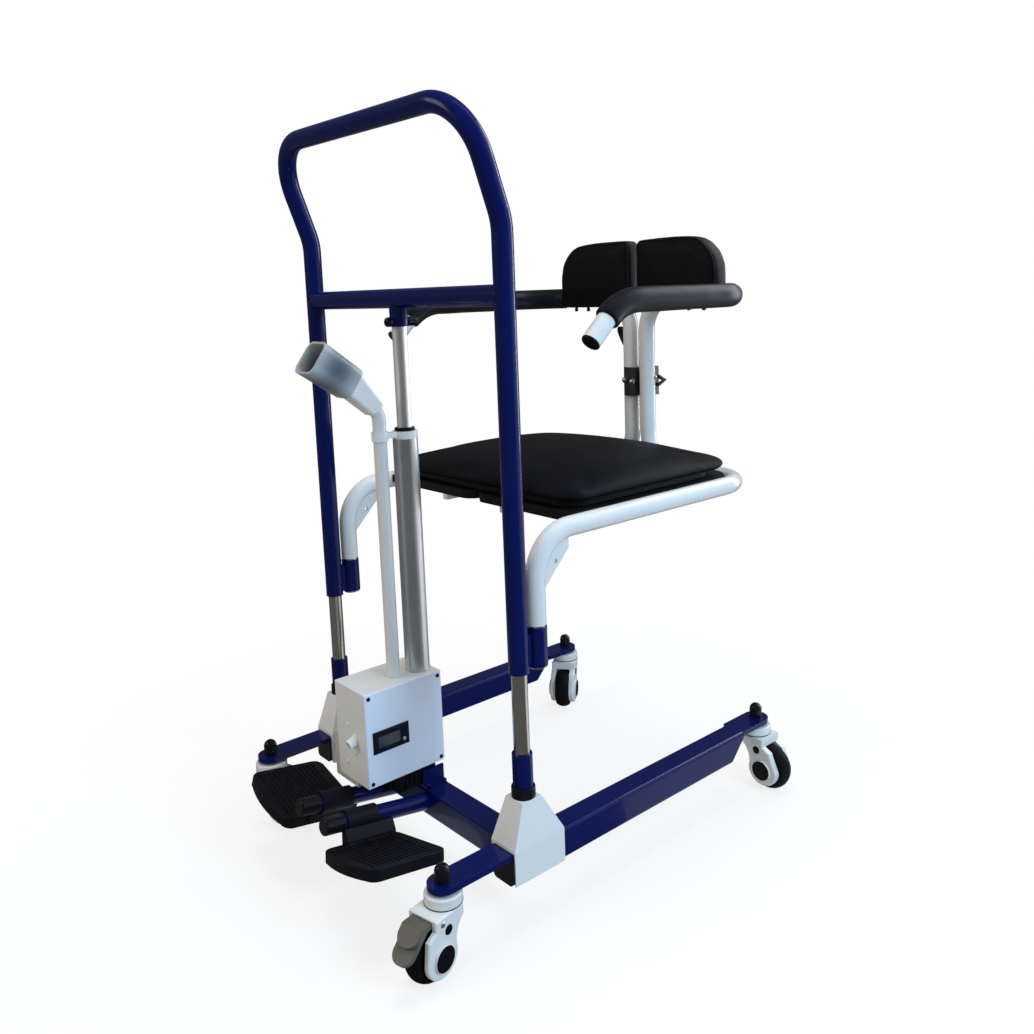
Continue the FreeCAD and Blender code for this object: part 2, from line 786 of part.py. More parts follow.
# ================================================================ footplates
def footplate():
    """Tread plate hinged on a footrest tube, built along -Y from the tube's root."""
    plate = Part.Face(footplate_outline()).extrude(V(0, 0, -pedal_plate_t))
    rims = [e for e in plate.Edges if e.BoundBox.ZLength < 0.01]
    plate = plate.makeFillet(pedal_plate_rim, rims)
    pitch = (pedal_plate_l - 2 * pedal_plate_corner) / rib_count
    for i in range(rib_count):
        y = -pedal_plate_back - pedal_plate_corner - pitch * (i + 0.5)
        groove = box(pedal_plate_corner, pedal_plate_w - rib_margin, y, y - rib_gap_w, -rib_depth, 5)
        plate = plate.cut(groove)
    plate.rotate(V(0, 0, 0), V(0, 1, 0), -pedal_plate_tilt)
    plate.translate(V(pedal_plate_in, 0, -pedal_plate_drop))
    sleeve = rod(sleeve_r, V(0, -sleeve_back, 0), V(0, -sleeve_back - sleeve_l, 0))
    bore = rod(rest_r + running_gap, V(0, 0, 0), V(0, -rest_tube_l * 2, 0))
    body = fuse(plate, sleeve, hinge_web()).cut(bore)
    body.rotate(V(0, 0, 0), V(1, 0, 0), -rest_rise)
    body.translate(rest_root())
    return body


def footplate_outline():
    """Tread outline with round corners and a bowed front edge, level, at z = 0."""
    r = pedal_plate_corner
    k = r * (1 - math.sqrt(0.5))
    x1 = pedal_plate_w
    y0 = -pedal_plate_back
    y1 = y0 - pedal_plate_l + pedal_plate_bow
    arcs = [
        (V(x1 - r, y0, 0), V(x1 - k, y0 - k, 0), V(x1, y0 - r, 0)),
        (V(x1, y1 + r, 0), V(x1 - k, y1 + k, 0), V(x1 - r, y1, 0)),
        (V(x1 - r, y1, 0), V(x1 / 2, y1 - pedal_plate_bow, 0), V(r, y1, 0)),
        (V(r, y1, 0), V(k, y1 + k, 0), V(0, y1 + r, 0)),
        (V(0, y0 - r, 0), V(k, y0 - k, 0), V(r, y0, 0)),
    ]
    edges = [Part.Arc(a, b, c).toShape() for a, b, c in arcs]
    edges.append(Part.LineSegment(V(x1, y0 - r, 0), V(x1, y1 + r, 0)).toShape())
    edges.append(Part.LineSegment(V(0, y1 + r, 0), V(0, y0 - r, 0)).toShape())
    edges.append(Part.LineSegment(V(r, y0, 0), V(x1 - r, y0, 0)).toShape())
    return Part.Wire(Part.__sortEdges__(edges))


def hinge_web():
    """Web from under the sleeve down to the inner edge of the tread."""
    top = -rest_r * 0.3
    low = -pedal_plate_drop - pedal_plate_t * 0.6
    foot = pedal_plate_in + hinge_web_t
    outline = [
        (foot - hinge_web_t - 2, low), (foot + 4, low), (foot, low + pedal_plate_t),
        (sleeve_r - 0.5, top), (sleeve_r - hinge_web_t, top),
    ]
    wire = Part.makePolygon([V(x, -hinge_web_back, z) for x, z in outline + outline[:1]])
    return Part.Face(wire).extrude(V(0, -hinge_web_l, 0))


# ================================================================ drive and control box
def bracket_bolts():
    """Centres of the screws that hold the bracket on the cross tube, as (x, y)."""
    x = ear_x - 2 + bracket_t + bracket_bolt_gap + screw_head_r
    y = -cross_size / 2 + bracket_bolt_back
    return [(-x, y), (x, y)]


def motor_bracket():
    """Saddle bolted on the cross tube, with an ear on each side of the motor."""
    half = bracket_bolts()[1][0] + bracket_bolt_in
    depth = cross_size / 2 - 1
    base = box(-half, half, -depth, depth, cross_top, cross_top + bracket_t)
    for side in (-1, 1):
        ear = box(side * (ear_x - 2), side * (ear_x - 2 + bracket_t), -depth, depth,
                  cross_top, cross_top + ear_h)
        base = base.fuse(ear)
    for x, y in bracket_bolts():
        base = base.cut(upright_rod(lid_screw_r + fixed_gap, x, y, cross_top - 1, cross_top + ear_h))
    return base.removeSplitter()


def lift_motor():
    """Finned drive unit between the bracket and the underside of the box."""
    low = cross_top + bracket_t
    high = box_bottom_z
    body = upright_block(-motor_half_w, motor_half_w, motor_front_y, motor_rear_y, low, high, 6)
    pitch = (motor_rear_y - motor_front_y - 16) / motor_rib_count
    for i in range(motor_rib_count):
        y = motor_front_y + 8 + pitch * (i + 0.5)
        for side in (-1, 1):
            slot = box(side * motor_half_w, side * (motor_half_w - motor_rib),
                       y - pitch / 4, y + pitch / 4, low + 4, high - 4)
            body = body.cut(slot)
    return body


def box_corners():
    """Centre line of the four lid screws, as (y, z)."""
    inset = box_wall + lid_post / 2 - 1
    ys = (box_front_y + inset, box_rear_y - inset)
    zs = (box_bottom_z + inset, box_top - inset)
    return [(y, z) for y in ys for z in zs]


def box_seam():
    return box_left_x - lid_t


def box_body():
    """Moulded case, open towards the lid, with a screw post in each corner."""
    seam = box_seam()
    case = upright_block(box_right_x, seam + 10, box_front_y, box_rear_y,
                         box_bottom_z, box_top, box_corner)
    case = case.cut(box(seam, seam + 20, box_front_y - 1, box_rear_y + 1, box_bottom_z - 1, box_top + 1))
    w = box_wall
    room = box(box_right_x + w, seam + 1, box_front_y + w, box_rear_y - w,
               box_bottom_z + w, box_top - w)
    case = case.cut(room)
    half = lid_post / 2
    for y, z in box_corners():
        post = box(box_right_x + w, seam, y - half, y + half, z - half, z + half)
        case = case.fuse(post)
        case = case.cut(rod(lid_screw_r, V(seam - screw_l, y, z), V(seam + 1, y, z)))
    case = case.cut(upright_rod(actuator_r + fixed_gap, 0, 0, box_bottom_z + w, box_top + 1))
    for x, z in front_screws():
        hole = rod(lid_screw_r, V(x, box_front_y - 1, z), V(x, box_front_y + w + 1, z))
        case = case.cut(hole)
    return case.removeSplitter()


def front_screws():
    """Screws and stud on the front of the box, as (x, z)."""
    return [(-17, socket_z + 16), (-25, socket_z - 44), (-1, socket_z - 23)]


def box_lid():
    """Side cover with the cut-out for the display."""
    lid = box(box_seam(), box_left_x, box_front_y, box_rear_y, box_bottom_z, box_top)
    rims = [e for e in lid.Edges if abs(e.BoundBox.XMin - box_left_x) < 0.01]
    lid = lid.makeFillet(1.5, rims)
    for y, z in box_corners():
        lid = lid.cut(rod(lid_screw_r + fixed_gap, V(0, y, z), V(box_left_x + 1, y, z)))
    y0, y1, z0, z1 = bezel_window()
    return lid.cut(box(0, box_left_x + 1, y0, y1, z0, z1))


def bezel_outline():
    y0 = box_front_y + bezel_front_gap
    z1 = box_top - bezel_top_gap
    return y0, y0 + bezel_w, z1 - bezel_h, z1


def bezel_window():
    y0, y1, z0, z1 = bezel_outline()
    f = bezel_frame
    return y0 + f, y1 - f, z0 + f, z1 - f


def display_bezel():
    """Raised frame with a sloped rim, its rear skirt inside the lid's cut-out."""
    y0, y1, z0, z1 = bezel_outline()
    frame = box(box_left_x, box_left_x + bezel_t, y0, y1, z0, z1)
    rims = [e for e in frame.Edges if abs(e.BoundBox.XMin - box_left_x - bezel_t) < 0.01]
    frame = frame.makeChamfer(1.5, rims)
    a, b, c, d = bezel_window()
    g = fixed_gap
    skirt = box(box_seam(), box_left_x, a + g, b - g, c + g, d - g)
    frame = frame.fuse(skirt)
    x = box_left_x + bezel_t
    pane = box(x - window_t, x + 1, a + 2, b - 2 - 3 * button_r, c + 2, d - 2)
    frame = frame.cut(pane)
    y, z = button_place()
    hole = rod(button_r + running_gap, V(x - button_travel - 3, y, z), V(x + 1, y, z))
    return frame.cut(hole).removeSplitter()


def button_place():
    y0, y1, z0, z1 = bezel_window()
    return y1 - 1.5 * button_r, z0 + 1.5 * button_r


def display_window():
    a, b, c, d = bezel_window()
    x = box_left_x + bezel_t
    g = fixed_gap
    return box(x - window_t + g, x - 0.3, a + 2 + g, b - 2 - 3 * button_r - g, c + 2 + g, d - 2 - g)


def display_button():
    y, z = button_place()
    x = box_left_x + bezel_t
    cap = rod(button_r, V(x - 2.5, y, z), V(x + button_out, y, z))
    rim = [e for e in cap.Edges if abs(e.BoundBox.XMin - x - button_out) < 0.01]
    return cap.makeFillet(0.6, rim)


def charge_socket():
    """Conical moulding on the front of the box with a round inlet."""
    dip = math.radians(socket_dip)
    way = V(0, -math.cos(dip), -math.sin(dip))
    seat = V(0, box_front_y + 6, socket_z)
    long = socket_l + 6
    cone = Part.makeCone(socket_cone_r, socket_tip_r, long, seat, way)
    cone = cone.cut(rod(socket_bore_r, seat + way * (long - 9), seat + way * (long + 2)))
    across = 2 * socket_cone_r
    return cone.cut(box(-across, across, box_front_y, 0, socket_z - across, socket_z + across))


def battery_pack():
    """Side case with a lip that reaches under the front of the box."""
    x1 = box_right_x
    x0 = x1 - battery_t
    main = box(x0, x1, battery_front_y, battery_rear_y, battery_bottom_z, battery_top_z)
    rims = [e for e in main.Edges if abs(e.BoundBox.XMax - x0) < 0.01]
    main = main.makeFillet(battery_round, rims)
    lip = box(x1 - 6, battery_lip_x, battery_front_y, battery_lip_rear_y,
              battery_bottom_z, box_bottom_z)
    return fuse(main, lip)


def round_screw(place, way, shank):
    """Round-headed screw whose head seats at place; way points out of the face."""
    head = rod(screw_head_r, place, place + way * screw_head_h)
    rim = [e for e in head.Edges
           if (e.CenterOfMass - place - way * screw_head_h).Length < 0.1]
    head = head.makeFillet(screw_head_h * 0.6, rim)
    return head.fuse(rod(lid_screw_r - fixed_gap, place - way * shank, place + way * 0.5))


def steel_screws():
    """Lid, front and bracket screws."""
    screws = []
    for y, z in box_corners():
        screws.append(round_screw(V(box_left_x, y, z), V(1, 0, 0), lid_t + screw_l - 1))
    for x, z in front_screws():
        screws.append(round_screw(V(x, box_front_y, z), V(0, -1, 0), box_wall))
    for x, y in bracket_bolts():
        place = V(x, y, cross_top + bracket_t)
        screws.append(round_screw(place, V(0, 0, 1), bracket_t + leg_wall))
    return Part.makeCompound(screws)


def actuator_outer_tube():
    low = box_bottom_z + box_wall
    ring = upright_ring(actuator_r, actuator_r - actuator_wall, 0, 0, low, actuator_top)
    return ring.fuse(upright_rod(actuator_r, 0, 0, low, low + 8))


def actuator_cap():
    """Head of the outer tube, with an arm that clips round the cup-holder pole."""
    low = actuator_top
    high = low + actuator_cap_h
    body = upright_rod(actuator_r, 0, 0, low, high)
    spigot = upright_rod(actuator_r - actuator_wall - fixed_gap, 0, 0, low - 12, low)
    arm = box(-6, 6, pole_y, 0, low + 3, high)
    middle = low + 3 + (high - low - 3) / 2
    wrap = upright_rod(wrap_r, 0, pole_y, middle - wrap_h / 2, middle + wrap_h / 2)
    body = fuse(body, spigot, arm, wrap)
    body = body.cut(upright_rod(rod_r + running_gap, 0, 0, low - 20, high + 5))
    return body.cut(upright_rod(pole_r + fixed_gap, 0, pole_y, low - 20, high + 20))


def actuator_wiper():
    low = actuator_top + actuator_cap_h
    ring = upright_ring(wiper_r, rod_r + running_gap, 0, 0, low, low + wiper_h)
    top = [e for e in ring.Edges if abs(e.BoundBox.ZMin - low - wiper_h) < 0.01
           and e.BoundBox.XLength > 2 * rod_r + 2]
    return ring.makeFillet(2.0, top)


def actuator_rod():
    """Hollow rod with its drive nut round the screw; its head fills the socket."""
    top = rod_socket_bottom + rod_seat
    body = upright_rod(rod_r, 0, 0, rod_bottom, top)
    bore_top = actuator_top - screw_top_drop + lift_down + lift_room
    body = body.cut(upright_rod(rod_bore_r, 0, 0, rod_bottom + rod_nut_l, bore_top))
    body = body.cut(upright_rod(screw_r + running_gap, 0, 0, rod_bottom - 1, rod_bottom + rod_nut_l))
    return body.cut(cross_bolt(rod_bolt_r + fixed_gap, rod_socket_r + 1, rod_socket_r + 1))


def cross_bolt(radius, front, rear):
    return rod(radius, V(0, -front, rod_bolt_z), V(0, rear, rod_bolt_z))


def lead_screw():
    return upright_rod(screw_r, 0, 0, screw_bottom, actuator_top - screw_top_drop)


def rod_bolt():
    """Cross bolt through the rod's socket with a domed cap at each end."""
    seat = rod_socket_r
    bolt = cross_bolt(rod_bolt_r, seat + rod_cap_front - 3, seat + rod_cap_rear - 3)
    front = rod(rod_cap_r, V(0, -seat, rod_bolt_z), V(0, -seat - rod_cap_front, rod_bolt_z))
    rear = rod(rod_cap_r, V(0, seat, rod_bolt_z), V(0, seat + rod_cap_rear, rod_bolt_z))
    tips = []
    for cap, y in ((front, -seat - rod_cap_front), (rear, seat + rod_cap_rear)):
        rim = [e for e in cap.Edges if abs(e.BoundBox.YMin - y) < 0.1 and e.BoundBox.YLength < 0.1]
        tips.append(cap.makeFillet(rod_cap_r * 0.6, rim))
    return fuse(bolt, *tips)


# ================================================================ cup holder
def cup_pole():
    foot = V(0, pole_y, box_top)
    points = [foot, V(0, pole_y, pole_bend_z), pole_tip]
    return tube(points, [pole_bend_r], pole_r, pole_r - pole_wall)


def aim(shape, place, rise):
    """Stand a shape drawn about +Z on place, leaning to the front; rise is from level."""
    shape = turned(shape, 90 - rise, axis=V(1, 0, 0))
    shape.translate(place)
    return shape


def squares_loft(size0, size1, corner, length, lift=0.0):
    low = rounded_face(size0, size0, corner)
    high = rounded_face(size1, size1, corner)
    low.translate(V(0, 0, lift))
    high.translate(V(0, 0, length))
    return Part.makeLoft([low.OuterWire, high.OuterWire], True, True)


def cup_neck():
    """Tapered arm from the top of the pole to the bottom of the cup."""
    low = rounded_face(neck_start_w, neck_start_w, 4)
    high = rounded_face(neck_end_w, neck_end_w, 6)
    low = aim(low, neck_start, neck_start_rise)
    high = aim(high, cup_base, cup_rise)
    body = Part.makeLoft([low.OuterWire, high.OuterWire], True, True)
    pole = pipe([V(0, pole_y, box_top), V(0, pole_y, pole_bend_z), pole_tip], [pole_bend_r],
                pole_r + fixed_gap)
    return body.cut(pole)


def accessory_cup():
    """Open square cup with round corners and a thick wall."""
    outer = squares_loft(cup_base_w, cup_mouth_w, cup_corner, cup_l)
    inner = squares_loft(cup_base_w - 2 * cup_wall, cup_mouth_w - 2 * cup_wall,
                         cup_corner - cup_wall, cup_l + 0.5, cup_wall + 1)
    return aim(outer.cut(inner), cup_base, cup_rise)


# ================================================================ lifting frame
def handle_frame():
    """One bent tube for both posts and the hand rail, with the pivot sleeves welded on."""
    half = [V(leg_x, 0, post_bottom), V(leg_x, 0, handle_bend_z),
            V(leg_x, handle_top.y, handle_top.z)]
    points = half + [V(-p.x, p.y, p.z) for p in reversed(half)]
    radii = [handle_bend_r, handle_corner_r, handle_corner_r, handle_bend_r]
    inner = pipe(points, radii, tube_in_r)
    sleeve = upright_rod(pivot_sleeve_r, leg_x, pivot_y, pivot_sleeve_bottom, pivot_top)
    t = pivot_web_t / 2
    foot = pivot_sleeve_bottom + pivot_web_up
    web = box(leg_x - t, leg_x + t, 0, pivot_y, foot, foot + pivot_web_h)
    lug = sleeve.fuse(web)
    bore = upright_rod(pivot_sleeve_bore, leg_x, pivot_y, post_bottom - 20, pivot_top + 20)
    lug = lug.cut(bore)
    body = pipe(points, radii, tube_r).multiFuse([lug, mirrored(lug)])
    return body.cut(inner).removeSplitter()


def handle_crossbar():
    """Bar between the posts with the socket for the actuator rod under its middle."""
    a = V(-leg_x, 0, crossbar_z)
    b = V(leg_x, 0, crossbar_z)
    bar = rod(tube_r, a, b)
    socket = upright_rod(rod_socket_r, 0, 0, rod_socket_bottom, crossbar_z)
    body = bar.fuse(socket).cut(rod(tube_in_r, a, b))
    for x in (-leg_x, leg_x):
        post = upright_rod(tube_r + weld_gap, x, 0, crossbar_z - 2 * tube_r, crossbar_z + 2 * tube_r)
        body = body.cut(post)
    seat = upright_rod(rod_r + fixed_gap, 0, 0, rod_socket_bottom - 1,
                       rod_socket_bottom + rod_seat + fixed_gap)
    body = body.cut(seat)
    return body.cut(cross_bolt(rod_bolt_r + fixed_gap, rod_socket_r + 1, rod_socket_r + 1))


def post_bushings():
    rings = []
    for z in (post_bottom, bushing_upper_z):
        rings.append(upright_ring(tube_in_r - running_gap, guide_r + running_gap,
                                  leg_x, 0, z, z + bushing_l))
    return Part.makeCompound(rings + [mirrored(r) for r in rings])


def pivot_rings():
    """Flanged steel bushings in the ends of the pivot sleeves."""
    rings = []
    for seat, out in ((pivot_sleeve_bottom, -1), (pivot_top, 1)):
        flange_z = sorted((seat, seat + out * pivot_flange_t))
        bush_z = sorted((seat, seat - out * pivot_bush_l))
        body = upright_rod(pivot_flange_r, leg_x, pivot_y, *flange_z)
        body = body.fuse(upright_rod(pivot_sleeve_bore - running_gap, leg_x, pivot_y, *bush_z))
        bore = upright_rod(pivot_pin_r + running_gap, leg_x, pivot_y, 0, 600)
        rings.append(body.cut(bore))
    return Part.makeCompound(rings + [mirrored(r) for r in rings])


# ================================================================ seat halves
def seat_foot_z():
    return pivot_top + pivot_flange_t + joint_gap


def arm_bend():
    return V(leg_x, arm_bend_y, arm_z)


def arm_way():
    dip = math.radians(arm_dip)
    return V(0, -math.cos(dip), -math.sin(dip))


def arm_tip():
    return arm_bend() + arm_way() * arm_end_l


def arm_points():
    """The arm from its rear run to its lower front end."""
    return [V(upright_x, seat_rear_y, arm_z), V(leg_x, seat_rear_y, arm_z), arm_bend(), arm_tip()]


def seat_path():
    """Pivot riser, rail, rear run, upright, upper run and arm as one bent tube."""
    points = [
        V(leg_x, pivot_y, seat_foot_z()), V(leg_x, pivot_y, rail_z),
        V(leg_x, seat_rear_y, rail_z), V(upright_x, seat_rear_y, rail_z),
    ] + arm_points()
    radii = [rail_front_r, rail_rear_r, upright_bend_r, upright_bend_r, arm_rear_r, arm_bend_r]
    return points, radii


def gusset():
    """Flat web in the front bend of the rail, drilled near its middle."""
    outline = [
        (pivot_y, gusset_low), (gusset_low_y, gusset_low), (gusset_high_y, gusset_high),
        (gusset_high_y, rail_z), (pivot_y + rail_front_r * 0.3, rail_z - rail_front_r * 0.3),
    ]
    half = gusset_t / 2
    web = side_profile(outline, leg_x - half, leg_x + half)
    hole = V(leg_x, (gusset_low_y + gusset_high_y) / 2 - 2, (gusset_low + gusset_high) / 2 + 9)
    return web.cut(rod(gusset_hole_r, hole - V(10, 0, 0), hole + V(10, 0, 0)))


def seat_supports():
    """Flat straps and a fore-and-aft bar that carry the seat board."""
    low = board_bottom_z - support_h
    bar = box(support_x, support_x + support_w, board_front_y, seat_rear_y - tube_in_r * 0.7,
              low, board_bottom_z)
    pieces = [bar]
    for y in strap_rows:
        pieces.append(box(support_x, leg_x - tube_in_r * 0.7, y - strap_w / 2, y + strap_w / 2,
                          board_bottom_z - strap_t, board_bottom_z))
    return pieces


def seat_frame():
    points, radii = seat_path()
    body = pipe(points, radii, tube_r).multiFuse([gusset()] + seat_supports())
    body = body.cut(pipe(points, radii, tube_in_r))
    foot = seat_foot_z()
    disc = upright_rod(tube_r, leg_x, pivot_y, foot, foot + 8)
    pin = upright_rod(pivot_pin_r, leg_x, pivot_y, pivot_sleeve_bottom - pivot_flange_t, foot + 4)
    return fuse(body, disc, pin)


def seat_board():
    """Board inside the rail loop; its rear outer corner follows the tube's bend."""
    x1 = leg_x - tube_r - board_gap
    y1 = seat_rear_y - tube_r - board_gap
    board = box(board_split, x1, board_front_y, y1, board_bottom_z, board_top)
    upright = [e for e in board.Edges if e.BoundBox.ZLength > board_t / 2]
    front_in = [e for e in upright if e.CenterOfMass.x < 50 and e.CenterOfMass.y < 200]
    board = board.makeFillet(board_front_r, front_in)
    rear_out = [e for e in board.Edges if e.BoundBox.ZLength > board_t / 2
                and e.CenterOfMass.x > x1 - 1 and e.CenterOfMass.y > y1 - 1]
    return board.makeFillet(rail_rear_r - tube_r - board_gap, rear_out)


def back_pad():
    """Slab with a large outer top corner, grooved below over the bent tube."""
    width = pad_out_x - pad_in_x
    slab = box(pad_in_x, pad_out_x, seat_rear_y - pad_t / 2, seat_rear_y + pad_t / 2,
               pad_bottom, pad_top)
    big = [e for e in slab.Edges if e.BoundBox.YLength > pad_t / 2
           and e.CenterOfMass.x > pad_out_x - 1 and e.CenterOfMass.z > pad_top - 1]
    slab = slab.makeFillet(min(pad_outer_r, width / 2), big)
    small = [e for e in slab.Edges if e.BoundBox.YLength > pad_t / 2
             and e.CenterOfMass.x < pad_in_x + 1 and e.CenterOfMass.z > pad_top - 1]
    slab = slab.makeFillet(pad_inner_r, small)
    faces = [e for e in slab.Edges if e.BoundBox.YLength < 0.01]
    slab = slab.makeFillet(pad_edge_r, faces)
    clear = tube_r + joint_gap
    start = upright_x + upright_bend_r
    groove = box(start, pad_out_x + 5, seat_rear_y - clear, seat_rear_y + clear,
                 pad_bottom - 5, arm_z + clear)
    bend = V(start, seat_rear_y - clear, arm_z - upright_bend_r)
    sweep = rod(upright_bend_r + clear, bend, bend + V(0, 2 * clear, 0))
    sweep = sweep.common(box(-50, start, 400, 600, pad_bottom - 5, 1000))
    tubes = pipe(arm_points(), [arm_rear_r, arm_bend_r], clear)
    return slab.cut(groove).cut(sweep).cut(tubes.common(box(start, 400, 400, 600, 700, 900)))


def arm_grip():
    """Foam sleeve from the back pad round the rear corner and down the front bend."""
    centre = V(leg_x - arm_rear_r, seat_rear_y - arm_rear_r, arm_z)
    swing = math.asin((pad_out_x + grip_pad_gap - centre.x) / arm_rear_r)
    start = centre + V(math.sin(swing), math.cos(swing), 0) * arm_rear_r
    along = V(math.cos(swing), -math.sin(swing), 0)
    corner = start + along * ((leg_x - start.x) / along.x)
    end = arm_tip() - arm_way() * arm_bare_l
    radii = [arm_rear_r, arm_bend_r]
    sleeve = pipe([start - along, corner, arm_bend(), end], radii, grip_r)
    bore_ends = [start - along * 2, end + arm_way()]
    bore = pipe([bore_ends[0], corner, arm_bend(), bore_ends[1]], radii, tube_r + grip_gap)
    return sleeve.cut(bore)


def arm_plug():
    way = arm_way()
    end = arm_tip()
    cap = rod(tube_r, end, end + way * plug_t)
    rim = [e for e in cap.Edges if (e.CenterOfMass - end - way * plug_t).Length < 0.5]
    cap = cap.makeFillet(2.0, rim)
    return cap.fuse(rod(tube_in_r - fixed_gap, end - way * plug_depth, end + way * 0.5))


# ================================================================ latch
def latch_block():
    """Channel round the inner side of the right upright, with the pin that carries the lever."""
    x = -upright_x
    y = seat_rear_y
    block = upright_block(x - latch_out, latch_in_x, y - latch_front, y + latch_rear,
                          latch_z, latch_z + latch_h, 2)
    side = tube_r + fixed_gap
    seat = upright_rod(side, x, y, latch_z - 1, latch_z + latch_h + 1)
    low = latch_pin_z() - latch_bridge_h / 2
    high = latch_pin_z() + latch_bridge_h / 2
    back = y + tube_r + latch_wall
    bridge = box(x - latch_out, latch_in_x, y + side, back, low, high)
    cheek = box(x + side, latch_in_x, y, back, low, high)
    pin = rod(lever_pin_r, V(x, back - 1, latch_pin_z()), V(x, lever_y() + lever_t + 2, latch_pin_z()))
    behind = box(x - side, x + side, y, y + side, latch_z - 1, latch_z + latch_h + 1)
    return fuse(block.cut(behind), cheek, bridge, pin).cut(seat)


def latch_pin_z():
    return latch_z + latch_h / 2


def lever_y():
    return seat_rear_y + tube_r + latch_wall + joint_gap


def latch_lever():
    """Flat lever: a catch arm that lies on the stud and a leaning thumb tongue."""
    x = -upright_x
    z = latch_pin_z()
    y = lever_y()
    half = lever_w / 2
    eye = rod(half, V(x, y, z), V(x, y + lever_t, z))
    stud_top = z - latch_stud_drop() + latch_stud_r + joint_gap
    arm = box(x, upright_x + half, y, y + lever_t, stud_top, stud_top + half)
    tongue = [(x - half, z), (x - lever_lean * 0.55 - half, z + lever_up * 0.6),
              (x - lever_lean * 0.6 - half, z + lever_up), (x - lever_lean * 0.3, z + lever_up),
              (x + half, z)]
    wire = Part.makePolygon([V(a, y, b) for a, b in tongue + tongue[:1]])
    thumb = Part.Face(wire).extrude(V(0, lever_t, 0))
    top = [e for e in thumb.Edges if e.BoundBox.YLength > lever_t / 2
           and e.CenterOfMass.z > z + lever_up - 1]
    thumb = thumb.makeFillet(3.0, top)
    body = fuse(eye, arm, thumb)
    return body.cut(rod(lever_pin_r + running_gap, V(x, y - 5, z), V(x, y + 20, z)))


def latch_stud_drop():
    return lever_w / 2


def latch_plate():
    """Striker plate behind the left upright, with the stud and a triangular grab."""
    x = upright_x
    y = seat_rear_y + tube_r
    z0 = latch_z + latch_plate_up
    z1 = z0 + latch_h
    plate = box(x - tube_r + 2, x + latch_plate_out, y, y + latch_wall, z0, z1)
    saddle = upright_rod(tube_r + fixed_gap, x, seat_rear_y, z0 - 1, z1 + 1)
    clamp = box(x - tube_r + 4, x + latch_plate_out, seat_rear_y + 6, y + 1, z0, z1).cut(saddle)
    stud_z = latch_pin_z() - latch_stud_drop()
    stud = rod(latch_stud_r, V(x, y + 1, stud_z), V(x, lever_y() + latch_stud_l, stud_z))
    grab_x = x + latch_plate_out
    z = latch_pin_z() + grab_up
    outer = [(grab_x, z + grab_half), (grab_x + grab_out, z + 2), (grab_x, z - grab_half)]
    inner = [(grab_x - 1, z + grab_half * 0.5), (grab_x + grab_out * 0.6, z + 1),
             (grab_x - 1, z - grab_half * 0.5)]
    rings = []
    for corners in (outer, inner):
        wire = Part.makePolygon([V(a, y - 3, b) for a, b in corners + corners[:1]])
        rings.append(Part.Face(wire).extrude(V(0, 3 + latch_wall, 0)))
    return fuse(plate, clamp, stud, rings[0].cut(rings[1]))


# ================================================================ cushion
def cushion():
    """One crowned cushion whose recessed base sits on both boards."""
    half = cushion_half_w
    middle = (board_front_y + cushion_rear_y) / 2
    depth = (cushion_rear_y - board_front_y) / 2
    low = cushion_bottom + cushion_base_h
    high = low + cushion_side_h + cushion_crown
    body = upright_block(-half, half, board_front_y, cushion_rear_y, low, high, cushion_corner_r)
    sag_x = cushion_crown * 0.8
    radius_x = (half * half + sag_x * sag_x) / (2 * sag_x)
    crown_x = rod(radius_x, V(0, -200, high - radius_x), V(0, 800, high - radius_x))
    sag_y = cushion_crown * 0.6
    radius_y = (depth * depth + sag_y * sag_y) / (2 * sag_y)
    crown_y = rod(radius_y, V(-400, middle, high - radius_y), V(400, middle, high - radius_y))
    body = body.common(crown_x).common(crown_y)
    inset = cushion_base_inset
    base = upright_block(-half + inset, half - inset, board_front_y + inset,
                         cushion_rear_y - inset, cushion_bottom, low, cushion_corner_r)
    return fuse(body, base)


